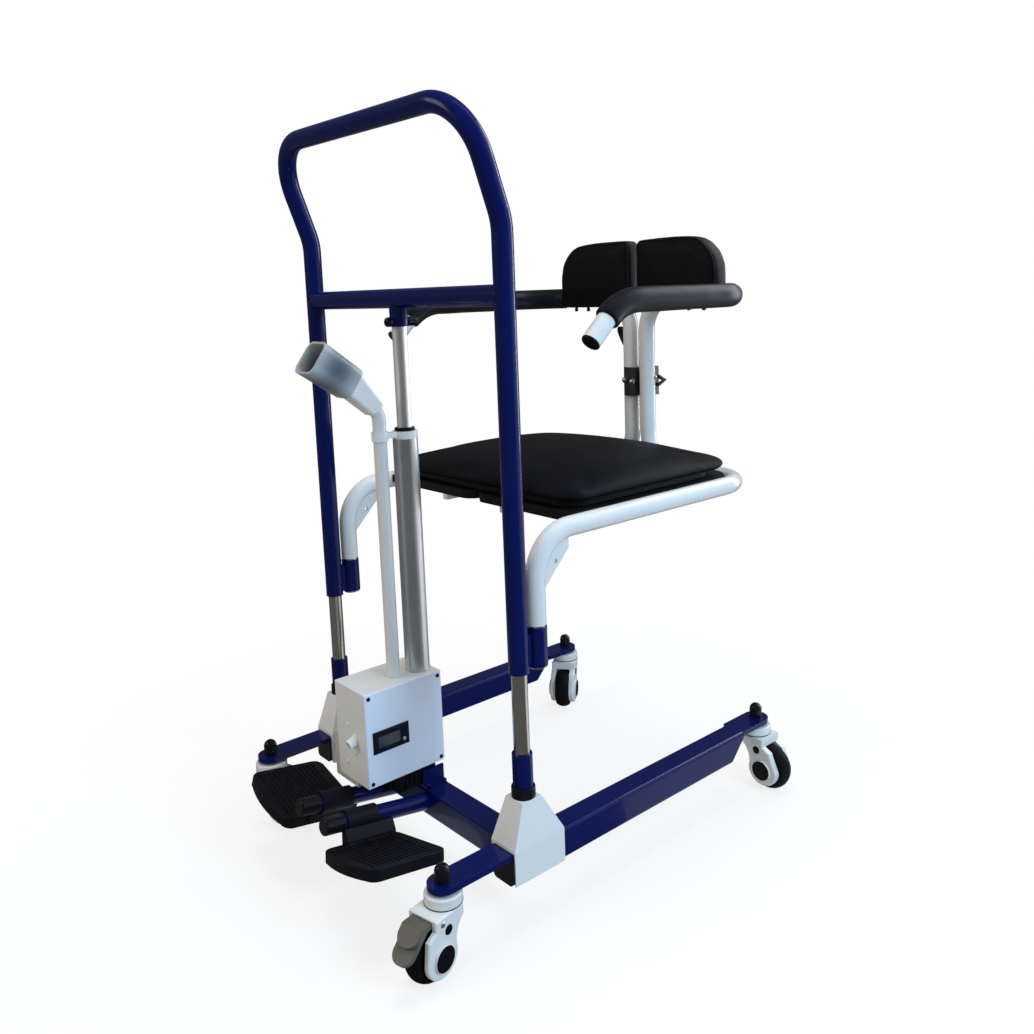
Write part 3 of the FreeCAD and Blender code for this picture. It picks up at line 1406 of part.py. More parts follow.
# ================================================================ assembly
def all_nodes():
    nodes = {
        "base_cross_tube": base_cross_tube(),
        "tube_end_plugs": tube_end_plugs(),
        "column_shrouds": both_sides(shroud()),
        "column_sockets": column_sockets(),
        "socket_collars": socket_collars(),
        "guide_tubes": guide_tubes(),
        "caster_dome_nuts": caster_dome_nuts(),
        "caster_bearing_rings": caster_bearing_rings(),
        "caster_stem_bolts": caster_stem_bolts(),
        "motor_bracket": motor_bracket(),
        "steel_screws": steel_screws(),
        "lift_motor": lift_motor(),
        "box_body": box_body(),
        "box_lid": box_lid(),
        "display_bezel": display_bezel(),
        "display_window": display_window(),
        "display_button": display_button(),
        "charge_socket": charge_socket(),
        "battery_pack": battery_pack(),
        "actuator_outer_tube": actuator_outer_tube(),
        "actuator_cap": actuator_cap(),
        "actuator_wiper": actuator_wiper(),
        "actuator_rod": actuator_rod(),
        "lead_screw": lead_screw(),
        "rod_bolt": rod_bolt(),
        "cup_pole": cup_pole(),
        "cup_neck": cup_neck(),
        "accessory_cup": accessory_cup(),
        "handle_frame": handle_frame(),
        "handle_crossbar": handle_crossbar(),
        "post_bushings": post_bushings(),
        "pivot_rings": pivot_rings(),
        "latch_block": latch_block(),
        "latch_lever": latch_lever(),
        "latch_plate": latch_plate(),
        "cushion": cushion(),
    }
    pairs = {
        "base_leg": base_leg(),
        "footplate": footplate(),
        "seat_frame": seat_frame(),
        "seat_board": seat_board(),
        "back_pad": back_pad(),
        "arm_grip": arm_grip(),
        "arm_plug": arm_plug(),
    }
    for name, shape in pairs.items():
        nodes[name + "_left"] = shape
        nodes[name + "_right"] = mirrored(shape)
    forks = {"front": braked_fork(), "rear": caster_fork(hood_plain)}
    for name in caster_names:
        end = name.split("_")[0]
        nodes["caster_fork_" + name] = place_caster(forks[end], name)
        nodes["caster_wheel_" + name] = place_caster(caster_wheel(), name)
        if end == "front":
            nodes["brake_pedal_" + name] = place_caster(brake_pedal(), name)
    return nodes


def main():
    os.makedirs("parts", exist_ok=True)
    nodes = all_nodes()
    whole = Part.makeCompound(list(nodes.values())).BoundBox
    shift = V(-round(whole.Center.x), -round(whole.Center.y), 0)
    print("origin shift", shift.x, shift.y, "size", whole.XLength, whole.YLength, whole.ZLength)
    for name, shape in nodes.items():
        shape.translate(shift)
        shape.exportStep("parts/" + name + ".step")
        if not shape.isValid() or not shape.Solids:
            print("check", name, shape.isValid(), len(shape.Solids))
    print(len(nodes), "nodes")


main()
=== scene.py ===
import json
import math

import bmesh
import bpy
from mathutils import Matrix, Vector, noise


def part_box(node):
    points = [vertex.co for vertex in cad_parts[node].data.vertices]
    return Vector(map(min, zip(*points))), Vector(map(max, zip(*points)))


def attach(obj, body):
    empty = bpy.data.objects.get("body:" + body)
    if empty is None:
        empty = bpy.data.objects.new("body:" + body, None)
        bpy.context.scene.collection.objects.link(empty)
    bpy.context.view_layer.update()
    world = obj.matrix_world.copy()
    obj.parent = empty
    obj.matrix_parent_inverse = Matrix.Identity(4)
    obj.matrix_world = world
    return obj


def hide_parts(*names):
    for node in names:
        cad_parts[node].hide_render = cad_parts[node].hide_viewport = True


# A sit to stand lift, dressed over its CAD nodes: camera, light, materials, soft goods and small trim.

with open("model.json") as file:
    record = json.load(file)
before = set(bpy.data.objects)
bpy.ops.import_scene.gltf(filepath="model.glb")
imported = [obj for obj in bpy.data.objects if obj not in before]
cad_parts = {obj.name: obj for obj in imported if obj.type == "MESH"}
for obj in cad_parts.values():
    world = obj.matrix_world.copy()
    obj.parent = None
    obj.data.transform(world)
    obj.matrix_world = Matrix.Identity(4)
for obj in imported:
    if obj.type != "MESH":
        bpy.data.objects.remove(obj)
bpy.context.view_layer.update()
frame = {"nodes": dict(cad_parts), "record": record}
scene = bpy.context.scene


# ---------------- places taken from the frame

def centre(node):
    low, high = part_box(node)
    return (low + high) / 2


def loose_parts(node):
    """Boxes of the separate solids that a node holds, sorted by place."""
    bm = bmesh.new()
    bm.from_mesh(frame["nodes"][node].data)
    bmesh.ops.remove_doubles(bm, verts=bm.verts, dist=1e-6)
    boxes = []
    left = set(bm.verts)
    while left:
        island, front = set(), [left.pop()]
        while front:
            vert = front.pop()
            island.add(vert)
            near = {edge.other_vert(vert) for edge in vert.link_edges} & left
            left -= near
            front += near
        low = Vector(min(v.co[i] for v in island) for i in range(3))
        high = Vector(max(v.co[i] for v in island) for i in range(3))
        boxes.append((low, high))
    bm.free()
    return sorted(boxes, key=lambda box: tuple(box[0]))


joints = {joint["name"]: joint for joint in frame["record"]["behaviour"]["joints"]}
MIDDLE = centre("actuator_outer_tube") * Vector((1, 1, 0))     # on the floor below the column
ARM_ABOVE_PAD_FOOT = 0.019
ARM_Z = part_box("back_pad_left")[0].z + ARM_ABOVE_PAD_FOOT
ARM_HALF_SPAN = 0.240     # from MIDDLE to the posts' axes, which the arms' straight runs share
TUBE_R = 0.014            # of the handle frame and the seat tubes


# ---------------- camera and light

CAMERA_FROM_MIDDLE = Vector((1.1655, -0.7689, 0.8513))
CAMERA_YAW, CAMERA_PITCH, CAMERA_ROLL = math.radians(49.07), math.radians(-8.31), math.radians(-2.01)
CAMERA_LENS, CAMERA_SENSOR = 33.27, 36
CAMERA_SHIFT = (-0.0123, -0.0837)
CAMERA_NEAR, CAMERA_FAR = 0.05, 60
AMBIENT = 0.35                            # the backdrop's strength as a light
FLOOR_SIZE, FLOOR_DROP = 24, 0.0004
SCREEN_STEP = 6.0                         # degrees between a screen's edges
CARPET = ((0.12, 0.002), (1.5, 0.002))    # (radius, height) about MIDDLE
WALLS = ((1.5, 0.002), (4.0, 0.002), (4.0, 3.2), (0.02, 3.6))


def make_camera():
    look = Vector((
        -math.sin(CAMERA_YAW) * math.cos(CAMERA_PITCH),
        math.cos(CAMERA_YAW) * math.cos(CAMERA_PITCH),
        math.sin(CAMERA_PITCH),
    ))
    level = Vector((math.cos(CAMERA_YAW), math.sin(CAMERA_YAW), 0))
    rise = level.cross(look)
    right = math.cos(CAMERA_ROLL) * level + math.sin(CAMERA_ROLL) * rise
    up = math.cos(CAMERA_ROLL) * rise - math.sin(CAMERA_ROLL) * level
    data = bpy.data.cameras.new("camera")
    data.lens = CAMERA_LENS
    data.sensor_width = CAMERA_SENSOR
    data.shift_x, data.shift_y = CAMERA_SHIFT
    data.clip_start, data.clip_end = CAMERA_NEAR, CAMERA_FAR
    camera = bpy.data.objects.new("camera", data)
    place = Matrix.Translation(MIDDLE + CAMERA_FROM_MIDDLE)
    camera.matrix_world = place @ Matrix((right, up, -look)).transposed().to_4x4()
    scene.collection.objects.link(camera)
    scene.camera = camera


def make_lamp(name, place, aim, size, power, colour, lights=True, shines=True):
    """An area lamp that lights surfaces, shows in their reflections, or both."""
    data = bpy.data.lights.new(name, "AREA")
    data.shape = "RECTANGLE"
    data.size, data.size_y = size
    data.energy = power
    data.color = colour
    lamp = bpy.data.objects.new(name, data)
    lamp.location = place
    lamp.rotation_euler = (Vector(aim) - Vector(place)).to_track_quat("-Z", "Y").to_euler()
    lamp.visible_diffuse = lights
    lamp.visible_glossy = shines
    scene.collection.objects.link(lamp)


def map_range(nodes, links, value, low, high, to_low, to_high, kind="LINEAR"):
    node = nodes.new("ShaderNodeMapRange")
    node.interpolation_type = kind
    node.inputs["From Min"].default_value = low
    node.inputs["From Max"].default_value = high
    node.inputs["To Min"].default_value = to_low
    node.inputs["To Max"].default_value = to_high
    links.new(value, node.inputs["Value"])
    return node.outputs["Result"]


def backdrop_strength(nodes, links):
    """1 for the rays that show the backdrop, straight or in a reflection, and AMBIENT for the others."""
    path = nodes.new("ShaderNodeLightPath")
    seen = path.outputs["Is Camera Ray"]
    for name in ("Is Glossy Ray", "Is Transmission Ray"):
        most = nodes.new("ShaderNodeMath")
        most.operation = "MAXIMUM"
        links.new(seen, most.inputs[0])
        links.new(path.outputs[name], most.inputs[1])
        seen = most.outputs[0]
    return map_range(nodes, links, seen, 0, 1, AMBIENT, 1)


def make_world():
    """White where it is seen, dimmer as a light."""
    world = bpy.data.worlds.new("studio")
    world.use_nodes = True
    nodes, links = world.node_tree.nodes, world.node_tree.links
    back = nodes["Background"]
    back.inputs["Color"].default_value = (1, 1, 1, 1)
    links.new(backdrop_strength(nodes, links), back.inputs["Strength"])
    scene.world = world


def new_material(name):
    mat = bpy.data.materials.new(name)
    mat.use_nodes = True
    return mat, mat.node_tree.nodes, mat.node_tree.links


def mesh_from(name, bm):
    mesh = bpy.data.meshes.new(name)
    bm.to_mesh(mesh)
    bm.free()
    return mesh


def make_dark_screen(name, profile, spans, shade):
    """A grey screen that only reflections see: its profile turned through spans of degrees."""
    bm = bmesh.new()
    for start, end in spans:
        count = max(2, round((end - start) / SCREEN_STEP))
        rows = []
        for i in range(count + 1):
            angle = math.radians(start + (end - start) * i / count)
            way = Vector((math.cos(angle), math.sin(angle), 0))
            points = [MIDDLE + way * radius + Vector((0, 0, z)) for radius, z in profile]
            rows.append([bm.verts.new(point) for point in points])
        for one, two in zip(rows, rows[1:]):
            for k in range(len(profile) - 1):
                bm.faces.new((one[k], two[k], two[k + 1], one[k + 1]))
    mesh = mesh_from(name, bm)
    mat, nodes, links = new_material(name)
    mat.cycles.emission_sampling = "NONE"
    glow = nodes.new("ShaderNodeEmission")
    glow.inputs["Color"].default_value = (*shade, 1)
    links.new(glow.outputs["Emission"], nodes["Material Output"].inputs["Surface"])
    mesh.materials.append(mat)
    screen = bpy.data.objects.new(name, mesh)
    for kind in ("camera", "diffuse", "shadow", "transmission"):
        setattr(screen, "visible_" + kind, False)
    scene.collection.objects.link(screen)


def make_floor(near, far, veil):
    """A pale floor that holds the object's shadow and fades into the white backdrop from near to far."""
    bpy.ops.mesh.primitive_plane_add(size=FLOOR_SIZE, location=(0, 0, -FLOOR_DROP))
    floor = bpy.context.object
    floor.name = "floor"
    mat, nodes, links = new_material("floor")
    shader = nodes["Principled BSDF"]
    shader.inputs["Base Color"].default_value = (0.97, 0.97, 0.97, 1)
    shader.inputs["Roughness"].default_value = 0.8
    shader.inputs["Specular IOR Level"].default_value = 0.1
    place = nodes.new("ShaderNodeTexCoord")
    distance = nodes.new("ShaderNodeVectorMath")
    distance.operation = "LENGTH"
    links.new(place.outputs["Object"], distance.inputs[0])
    fade = map_range(nodes, links, distance.outputs["Value"], near, far, veil, 1, "SMOOTHSTEP")
    glow = nodes.new("ShaderNodeEmission")
    links.new(backdrop_strength(nodes, links), glow.inputs["Strength"])
    mix = nodes.new("ShaderNodeMixShader")
    links.new(fade, mix.inputs["Fac"])
    links.new(shader.outputs["BSDF"], mix.inputs[1])
    links.new(glow.outputs["Emission"], mix.inputs[2])
    links.new(mix.outputs["Shader"], nodes["Material Output"].inputs["Surface"])
    floor.data.materials.append(mat)


scene.view_settings.view_transform = "Standard"
make_camera()
make_world()
make_floor(near=0.55, far=1.25, veil=0.80)
# Both screens stay open between the object's left and rear, as a bright window for metal and paint.
make_dark_screen("room_carpet", CARPET, ((-178, 38), (80, 182)), (0.15, 0.15, 0.145))
make_dark_screen("room_walls", WALLS, ((-178, 22), (80, 182)), (0.14, 0.137, 0.135))
make_lamp("lamp_key", (2.3, 0.2, 1.7), (0, 0, 0.5), (1.0, 1.4), 54, (0.43, 0.71, 1.0), shines=False)
make_lamp("lamp_front", (-1.2, -2.4, 1.9), (0, 0, 0.5), (1.2, 1.2), 20, (1.0, 0.93, 0.84))
make_lamp("lamp_rear", (0.2, 2.4, 2.3), (0, 0, 0.6), (1.4, 1.0), 20, (1.0, 1.0, 1.0))
make_lamp("lamp_top", (0.0, 0.0, 3.0), (0, 0, 0.5), (1.2, 1.2), 30, (1.0, 0.98, 0.95), shines=False)
make_lamp("lamp_strip", (0.72, 2.5, 1.1), (0, 0, 0.6), (0.35, 1.9), 42, (0.80, 0.90, 1.0), lights=False)


# ---------------- materials

BEVEL_SAMPLES = 4
WEAR_AND_HIGHLIGHT_EDGE = 0.0012


class Look:
    """A Principled material whose detail is built up from noise in the object's own metres."""

    def __init__(self, name, colour, roughness, metallic=0.0, edge=0.0, **sockets):
        self.mat, self.nodes, self.links = new_material(name)
        self.shader = self.nodes["Principled BSDF"]
        self.colour = colour
        self.shader.inputs["Base Color"].default_value = (*colour, 1)
        self.shader.inputs["Roughness"].default_value = roughness
        self.shader.inputs["Metallic"].default_value = metallic
        for socket, value in sockets.items():
            self.shader.inputs[socket.replace("_", " ")].default_value = value
        self.place = self.nodes.new("ShaderNodeTexCoord").outputs["Object"]
        self.paint = None
        self.normal = None
        if edge:
            bevel = self.nodes.new("ShaderNodeBevel")
            bevel.samples = BEVEL_SAMPLES
            bevel.inputs["Radius"].default_value = edge
            self.normal = bevel.outputs["Normal"]
            self.links.new(self.normal, self.shader.inputs["Normal"])

    def stretched(self, stretch):
        grid = self.nodes.new("ShaderNodeMapping")
        grid.inputs["Scale"].default_value = stretch
        self.links.new(self.place, grid.inputs["Vector"])
        return grid.outputs["Vector"]

    def noise(self, scale, detail, stretch=(1, 1, 1)):
        node = self.nodes.new("ShaderNodeTexNoise")
        node.inputs["Scale"].default_value = scale
        node.inputs["Detail"].default_value = detail
        self.links.new(self.stretched(stretch), node.inputs["Vector"])
        return node.outputs["Fac"]

    def distance_from(self, point):
        node = self.nodes.new("ShaderNodeVectorMath")
        node.operation = "DISTANCE"
        node.inputs[1].default_value = point
        self.links.new(self.place, node.inputs[0])
        return node.outputs["Value"]

    def cells(self, scale):
        node = self.nodes.new("ShaderNodeTexVoronoi")
        node.inputs["Scale"].default_value = scale
        self.links.new(self.place, node.inputs["Vector"])
        return node.outputs["Distance"]

    def range(self, value, low, high, to_low, to_high):
        return map_range(self.nodes, self.links, value, low, high, to_low, to_high)

    def tint(self, mask, colour):
        """Mixes another colour over the surface where the mask is 1."""
        node = self.nodes.new("ShaderNodeMix")
        node.data_type = "RGBA"
        self.links.new(mask, node.inputs["Factor"])
        if self.paint:
            self.links.new(self.paint, node.inputs[6])
        else:
            node.inputs[6].default_value = (*self.colour, 1)
        node.inputs[7].default_value = (*colour, 1)
        self.paint = node.outputs[2]
        self.links.new(self.paint, self.shader.inputs["Base Color"])

    def gloss(self, mask, low, high):
        """Roughness from low, where the mask is 0, to high, where it is 1."""
        self.links.new(self.range(mask, 0, 1, low, high), self.shader.inputs["Roughness"])

    def bump(self, height, depth, strength=1.0):
        node = self.nodes.new("ShaderNodeBump")
        node.inputs["Strength"].default_value = strength
        node.inputs["Distance"].default_value = depth
        self.links.new(height, node.inputs["Height"])
        if self.normal:
            self.links.new(self.normal, node.inputs["Normal"])
        self.normal = node.outputs["Normal"]
        self.links.new(self.normal, self.shader.inputs["Normal"])

    def rub_and_highlight_edges(self, colour, amount):
        """Edges rubbed towards a colour in patches, as wear and as a painted highlight, where the
        bevelled normal leaves the flat one.
        """
        geometry = self.nodes.new("ShaderNodeNewGeometry")
        wide = self.nodes.new("ShaderNodeBevel")
        wide.samples = BEVEL_SAMPLES
        wide.inputs["Radius"].default_value = WEAR_AND_HIGHLIGHT_EDGE
        turn = self.nodes.new("ShaderNodeVectorMath")
        turn.operation = "DOT_PRODUCT"
        self.links.new(wide.outputs["Normal"], turn.inputs[0])
        self.links.new(geometry.outputs["Normal"], turn.inputs[1])
        rim = self.range(turn.outputs["Value"], 0.97, 0.80, 0, amount)
        patch = self.range(self.noise(60, 3), 0.45, 0.62, 0, 1)
        both = self.nodes.new("ShaderNodeMath")
        both.operation = "MULTIPLY"
        self.links.new(rim, both.inputs[0])
        self.links.new(patch, both.inputs[1])
        self.tint(both.outputs[0], colour)

    def mottled(self, colour, scale, low, high, amount):
        """Soft patches of another colour, where the noise goes from low to high."""
        self.tint(self.range(self.noise(scale, 4), low, high, 0, amount), colour)


def powder_coat(name, colour, shade, specular, coat):
    look = Look(name, colour, 0.26, edge=0.0008, Specular_IOR_Level=specular, Coat_Weight=coat,
                Coat_Roughness=0.05)
    look.mottled(shade, 9, 0.35, 0.75, 0.5)
    look.gloss(look.noise(35, 4), 0.20, 0.32)
    look.bump(look.noise(420, 3), 0.00006)
    return look.mat


def moulded(name, colour, shade, roughness, grain, depth, edge_wear_and_highlight=None, specular=0.5):
    look = Look(name, colour, roughness, edge=0.0006, Specular_IOR_Level=specular)
    look.mottled(shade, 14, 0.35, 0.75, 0.6)
    # lighter edges: partly rubbed wear, partly a painted highlight
    if edge_wear_and_highlight:
        look.rub_and_highlight_edges(edge_wear_and_highlight, 0.5)
    look.gloss(look.noise(90, 4), roughness - 0.06, roughness + 0.08)
    look.bump(look.noise(grain, 3), depth)
    return look.mat


def metal(name, colour, shade, roughness, stretch, depth):
    look = Look(name, colour, roughness, metallic=1.0, edge=0.0004)
    look.mottled(shade, 20, 0.35, 0.7, 0.6)
    look.gloss(look.noise(260, 3, stretch), roughness * 0.75, roughness * 1.35)
    look.bump(look.noise(500, 2, stretch), depth)
    return look.mat


blue_paint = powder_coat("blue_paint", (0.0013, 0.007, 0.080), (0.001, 0.005, 0.062), 0.10, 0.20)
white_paint = powder_coat("white_paint", (0.73, 0.72, 0.695), (0.69, 0.68, 0.65), 0.3, 0.3)
white_plastic = moulded("white_plastic", (0.80, 0.79, 0.76), (0.76, 0.75, 0.71), 0.42, 700, 0.00012)
# the box's white plastic tinted blue: painted cool light on the lid, which faces the blue key lamp
lid_plastic_painted_cool_light = moulded("lid_plastic_painted_cool_light", (0.78, 0.82, 0.92), (0.74, 0.78, 0.87), 0.42, 700, 0.00012)
caster_plastic = moulded("caster_plastic", (0.76, 0.75, 0.72), (0.70, 0.69, 0.65), 0.36, 500, 0.0001)
# a light grey of the battery's own, made darker as painted shade for its place under the box
grey_plastic = moulded("grey_plastic", (0.55, 0.53, 0.48), (0.50, 0.48, 0.43), 0.48, 700, 0.00014)
button_plastic = moulded("button_plastic", (0.36, 0.37, 0.40), (0.31, 0.32, 0.35), 0.40, 900, 0.0001)
# the colour after the bump depth is a lighter edge: rubbed wear and a painted highlight
black_plastic = moulded("black_plastic", (0.006, 0.006, 0.008), (0.010, 0.010, 0.012), 0.40, 800,
                        0.00012, (0.035, 0.035, 0.036), 0.12)
glossy_black = moulded("glossy_black", (0.006, 0.006, 0.008), (0.009, 0.009, 0.011), 0.16, 300, 0.00006,
                       (0.03, 0.03, 0.03), 0.2)
bezel_plastic = moulded("bezel_plastic", (0.004, 0.006, 0.014), (0.006, 0.009, 0.019), 0.30, 800,
                        0.0001, (0.03, 0.03, 0.035), 0.15)
plate_plastic = moulded("plate_plastic", (0.005, 0.005, 0.008), (0.009, 0.009, 0.012), 0.50, 900,
                        0.0002, (0.04, 0.04, 0.042), 0.12)
board_black = moulded("board_black", (0.006, 0.006, 0.006), (0.010, 0.010, 0.010), 0.5, 350, 0.0002,
                      (0.03, 0.028, 0.025), 0.12)
pedal_plastic = moulded("pedal_plastic", (0.115, 0.108, 0.080), (0.092, 0.086, 0.063), 0.5, 700, 0.0002,
                        (0.20, 0.19, 0.16))
tyre_rubber = moulded("tyre_rubber", (0.006, 0.0055, 0.006), (0.010, 0.0095, 0.010), 0.60, 600, 0.0003,
                      (0.03, 0.029, 0.028), 0.05)
cap_plastic = moulded("cap_plastic", (0.004, 0.004, 0.007), (0.007, 0.007, 0.010), 0.42, 800, 0.00012,
                      (0.03, 0.03, 0.032), 0.05)
chrome = metal("chrome", (0.50, 0.49, 0.46), (0.42, 0.41, 0.38), 0.14, (1, 1, 0.1), 0.00003)
bright_steel = metal("bright_steel", (0.66, 0.66, 0.66), (0.56, 0.55, 0.53), 0.22, (1, 1, 1), 0.00005)
aluminium = metal("aluminium", (0.66, 0.675, 0.70), (0.59, 0.605, 0.63), 0.36, (1, 1, 0.03), 0.00006)
satin_steel = metal("satin_steel", (0.88, 0.89, 0.91), (0.80, 0.81, 0.83), 0.46, (1, 1, 0.03), 0.00006)
dark_steel = metal("dark_steel", (0.10, 0.10, 0.11), (0.06, 0.06, 0.065), 0.34, (1, 1, 4), 0.00008)


def make_cup_painted_shade():
    """Frosted plastic with painted light: a blue-grey painted shade in the middle, and paler painted
    light towards its corners, rim and foot.
    """
    low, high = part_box("accessory_cup")
    half = (high - low).length / 2
    look = Look("cup_plastic", (0.055, 0.08, 0.125), 0.40, edge=0.0006, Transmission_Weight=0.30,
                IOR=1.45)
    from_shaded_middle = look.distance_from((low + high) / 2)
    # painted light: paler away from the middle, over a base colour of painted shade
    look.tint(look.range(from_shaded_middle, half * 0.36, half * 0.78, 0, 1), (0.78, 0.78, 0.76))
    look.mottled((0.24, 0.27, 0.31), 22, 0.45, 0.75, 0.4)
    look.gloss(look.noise(120, 3), 0.34, 0.48)
    look.bump(look.noise(900, 2), 0.0001)
    return look.mat


def make_vinyl(name, colour, shade, specular):
    look = Look(name, colour, 0.5, Specular_IOR_Level=specular)
    look.mottled(shade, 12, 0.35, 0.7, 0.8)
    look.gloss(look.noise(40, 4), 0.44, 0.58)
    look.bump(look.cells(900), 0.00022, 0.5)
    look.bump(look.noise(30, 4), 0.0005, 0.3)
    return look.mat


def make_foam():
    look = Look("foam", (0.006, 0.008, 0.012), 0.36, Specular_IOR_Level=0.13)
    look.mottled((0.009, 0.010, 0.013), 60, 0.35, 0.7, 0.8)
    look.gloss(look.noise(150, 3), 0.32, 0.42)
    look.bump(look.cells(1400), 0.0002, 0.5)
    look.bump(look.noise(45, 3), 0.0004, 0.3)
    return look.mat


# painted shade: the dark inside a screw slot or a bore, as a colour of its own
def make_hole_painted_shade():
    look = Look("hole_painted_shade", (0.004, 0.004, 0.004), 0.6)
    look.mottled((0.0064, 0.0064, 0.0064), 200, 0.4, 0.7, 0.6)
    look.gloss(look.noise(400, 2), 0.48, 0.72)
    return look.mat


def make_display():
    look = Look("display_glass", (0.030, 0.044, 0.052), 0.10, Coat_Weight=0.6, Coat_Roughness=0.03)
    look.mottled((0.042, 0.060, 0.072), 60, 0.3, 0.7, 0.8)
    look.gloss(look.noise(200, 2), 0.05, 0.12)
    return look.mat


cup_plastic = make_cup_painted_shade()
vinyl = make_vinyl("vinyl", (0.005, 0.005, 0.007), (0.008, 0.008, 0.010), 0.05)
# the cushion's black vinyl made darker: painted shade on the back pads' fronts and piping
pad_vinyl_painted_shade = make_vinyl("pad_vinyl_painted_shade", (0.003, 0.003, 0.004), (0.005, 0.005, 0.006), 0.10)
foam = make_foam()
display_glass = make_display()
hole_painted_shade = make_hole_painted_shade()


# ---------------- CAD nodes

casters = ("front_left", "rear_left", "rear_right", "front_right")
sides = ("left", "right")
node_materials = {
    blue_paint: ["base_cross_tube", "base_leg_left", "base_leg_right", "column_sockets", "motor_bracket",
                 "handle_frame", "handle_crossbar"],
    white_paint: ["seat_frame_left", "seat_frame_right", "cup_pole"],
    white_plastic: ["column_shrouds", "box_body", "charge_socket", "actuator_cap", "cup_neck"],
    lid_plastic_painted_cool_light: ["box_lid"],
    caster_plastic: ["caster_bearing_rings"] + ["caster_fork_" + name for name in casters],
    grey_plastic: ["battery_pack"],
    black_plastic: ["socket_collars", "lift_motor", "actuator_wiper", "post_bushings"],
    glossy_black: ["tube_end_plugs", "caster_dome_nuts", "rod_bolt", "arm_plug_left", "arm_plug_right"],
    bezel_plastic: ["display_bezel"],
    button_plastic: ["display_button"],
    dark_steel: ["latch_block", "latch_lever", "latch_plate"],
    plate_plastic: ["footplate_left", "footplate_right"],
    board_black: ["seat_board_left", "seat_board_right"],
    pedal_plastic: ["brake_pedal_front_left", "brake_pedal_front_right"],
    tyre_rubber: ["caster_wheel_" + name for name in casters],
    chrome: ["guide_tubes", "pivot_rings"],
    bright_steel: ["caster_stem_bolts", "lead_screw", "steel_screws"],
    aluminium: ["actuator_outer_tube"],
    satin_steel: ["actuator_rod"],
    cup_plastic: ["accessory_cup"],
    display_glass: ["display_window"],
    vinyl: ["cushion"],
    pad_vinyl_painted_shade: ["back_pad_left", "back_pad_right"],
    foam: ["arm_grip_left", "arm_grip_right"],
}
for material, names in node_materials.items():
    for name in names:
        node = frame["nodes"][name]
        node.data.materials.clear()
        node.data.materials.append(material)


# ---------------- mesh tools

CORNER_STEPS = 8


def finish_piece(name, bm, material, body, smooth_angle=40):
    """Turns a bmesh into a piece that rides on a body; an angle of None leaves no edge sharp."""
    bmesh.ops.recalc_face_normals(bm, faces=bm.faces)
    mesh = mesh_from(name, bm)
    mesh.materials.append(material)
    mesh.shade_smooth()
    if smooth_angle:
        mesh.set_sharp_from_angle(angle=math.radians(smooth_angle))
    piece = bpy.data.objects.new(name, mesh)
    scene.collection.objects.link(piece)
    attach(piece, body)
    return piece


def axes_about(way):
    """Two directions square to a third."""
    way = way.normalized()
    side = way.cross(Vector((0, 0, 1)))
    if side.length < 0.1:
        side = Vector((1, 0, 0))
    side.normalize()
    return side, way.cross(side)


def join_rings(bm, rings, closed=False):
    """Quads between rings of points, with a cap at each end unless the last ring meets the first."""
    loops = [[bm.verts.new(point) for point in ring] for ring in rings]
    nexts = loops[1:] + ([loops[0]] if closed else [])
    for one, two in zip(loops, nexts):
        for i in range(len(one)):
            j = (i + 1) % len(one)
            bm.faces.new((one[i], one[j], two[j], two[i]))
    if not closed:
        bm.faces.new(list(reversed(loops[0])))
        bm.faces.new(loops[-1])


def turned_ring(place, way, radius, count):
    """Points on a circle square to a way."""
    side, up = axes_about(way)
    ring = []
    for i in range(count):
        angle = math.tau * i / count
        ring.append(place + side * math.cos(angle) * radius + up * math.sin(angle) * radius)
    return ring


def add_turned(bm, place, way, profile, count):
    """A turned solid: its profile is (distance along the axis, radius) pairs."""
    way = way.normalized()
    rings = [turned_ring(place + way * along, way, radius, count) for along, radius in profile]
    join_rings(bm, rings)


def add_block(bm, place, x_way, y_way, size, edge):
    """A small block with chamfered edges on the far side, standing on place."""
    z_way = x_way.cross(y_way)
    half_x, half_y, height = size[0] / 2, size[1] / 2, size[2]
    rings = []
    for inset, up in ((0, 0), (0, height - edge), (edge, height)):
        ring = []
        for sx, sy in ((-1, -1), (1, -1), (1, 1), (-1, 1)):
            corner = place + x_way * sx * (half_x - inset) + y_way * sy * (half_y - inset)
            ring.append(corner + z_way * up)
        rings.append(ring)
    join_rings(bm, rings)


def untwist(rings):
    """Rotates each ring's start so that it lies nearest the start of the ring before."""
    for i in range(1, len(rings)):
        last, ring = rings[i - 1], rings[i]
        best = min(range(len(ring)), key=lambda k: (ring[k] - last[0]).length)
        ring = ring[best:] + ring[:best]
        if (ring[1] - last[1]).length > (ring[-1] - last[1]).length:
            ring = [ring[0]] + ring[:0:-1]
        rings[i] = ring


def add_bead(bm, points, radius, count, ripple=0.0, wave=1.0):
    """A round bead along a closed path, rippled as a weld is."""
    rings = []
    travelled = 0.0
    for i, point in enumerate(points):
        after = points[(i + 1) % len(points)]
        swollen = radius * (1 + ripple * math.sin(travelled / wave * math.tau))
        rings.append(turned_ring(point, after - points[i - 1], swollen, count))
        travelled += (after - point).length
    untwist(rings)
    join_rings(bm, rings, closed=True)


def corner_outline(low, high, radii):
    """Outline of a rectangle in (a, b) with one radius for each corner, from low, low anticlockwise."""
    corners = ((low[0], low[1], radii[0], 180), (high[0], low[1], radii[1], 270),
               (high[0], high[1], radii[2], 0), (low[0], high[1], radii[3], 90))
    points = []
    for a, b, radius, start in corners:
        mid_a = a + radius if a == low[0] else a - radius
        mid_b = b + radius if b == low[1] else b - radius
        for i in range(CORNER_STEPS + 1):
            angle = math.radians(start + 90 * i / CORNER_STEPS)
            points.append((mid_a + radius * math.cos(angle), mid_b + radius * math.sin(angle)))
    return points


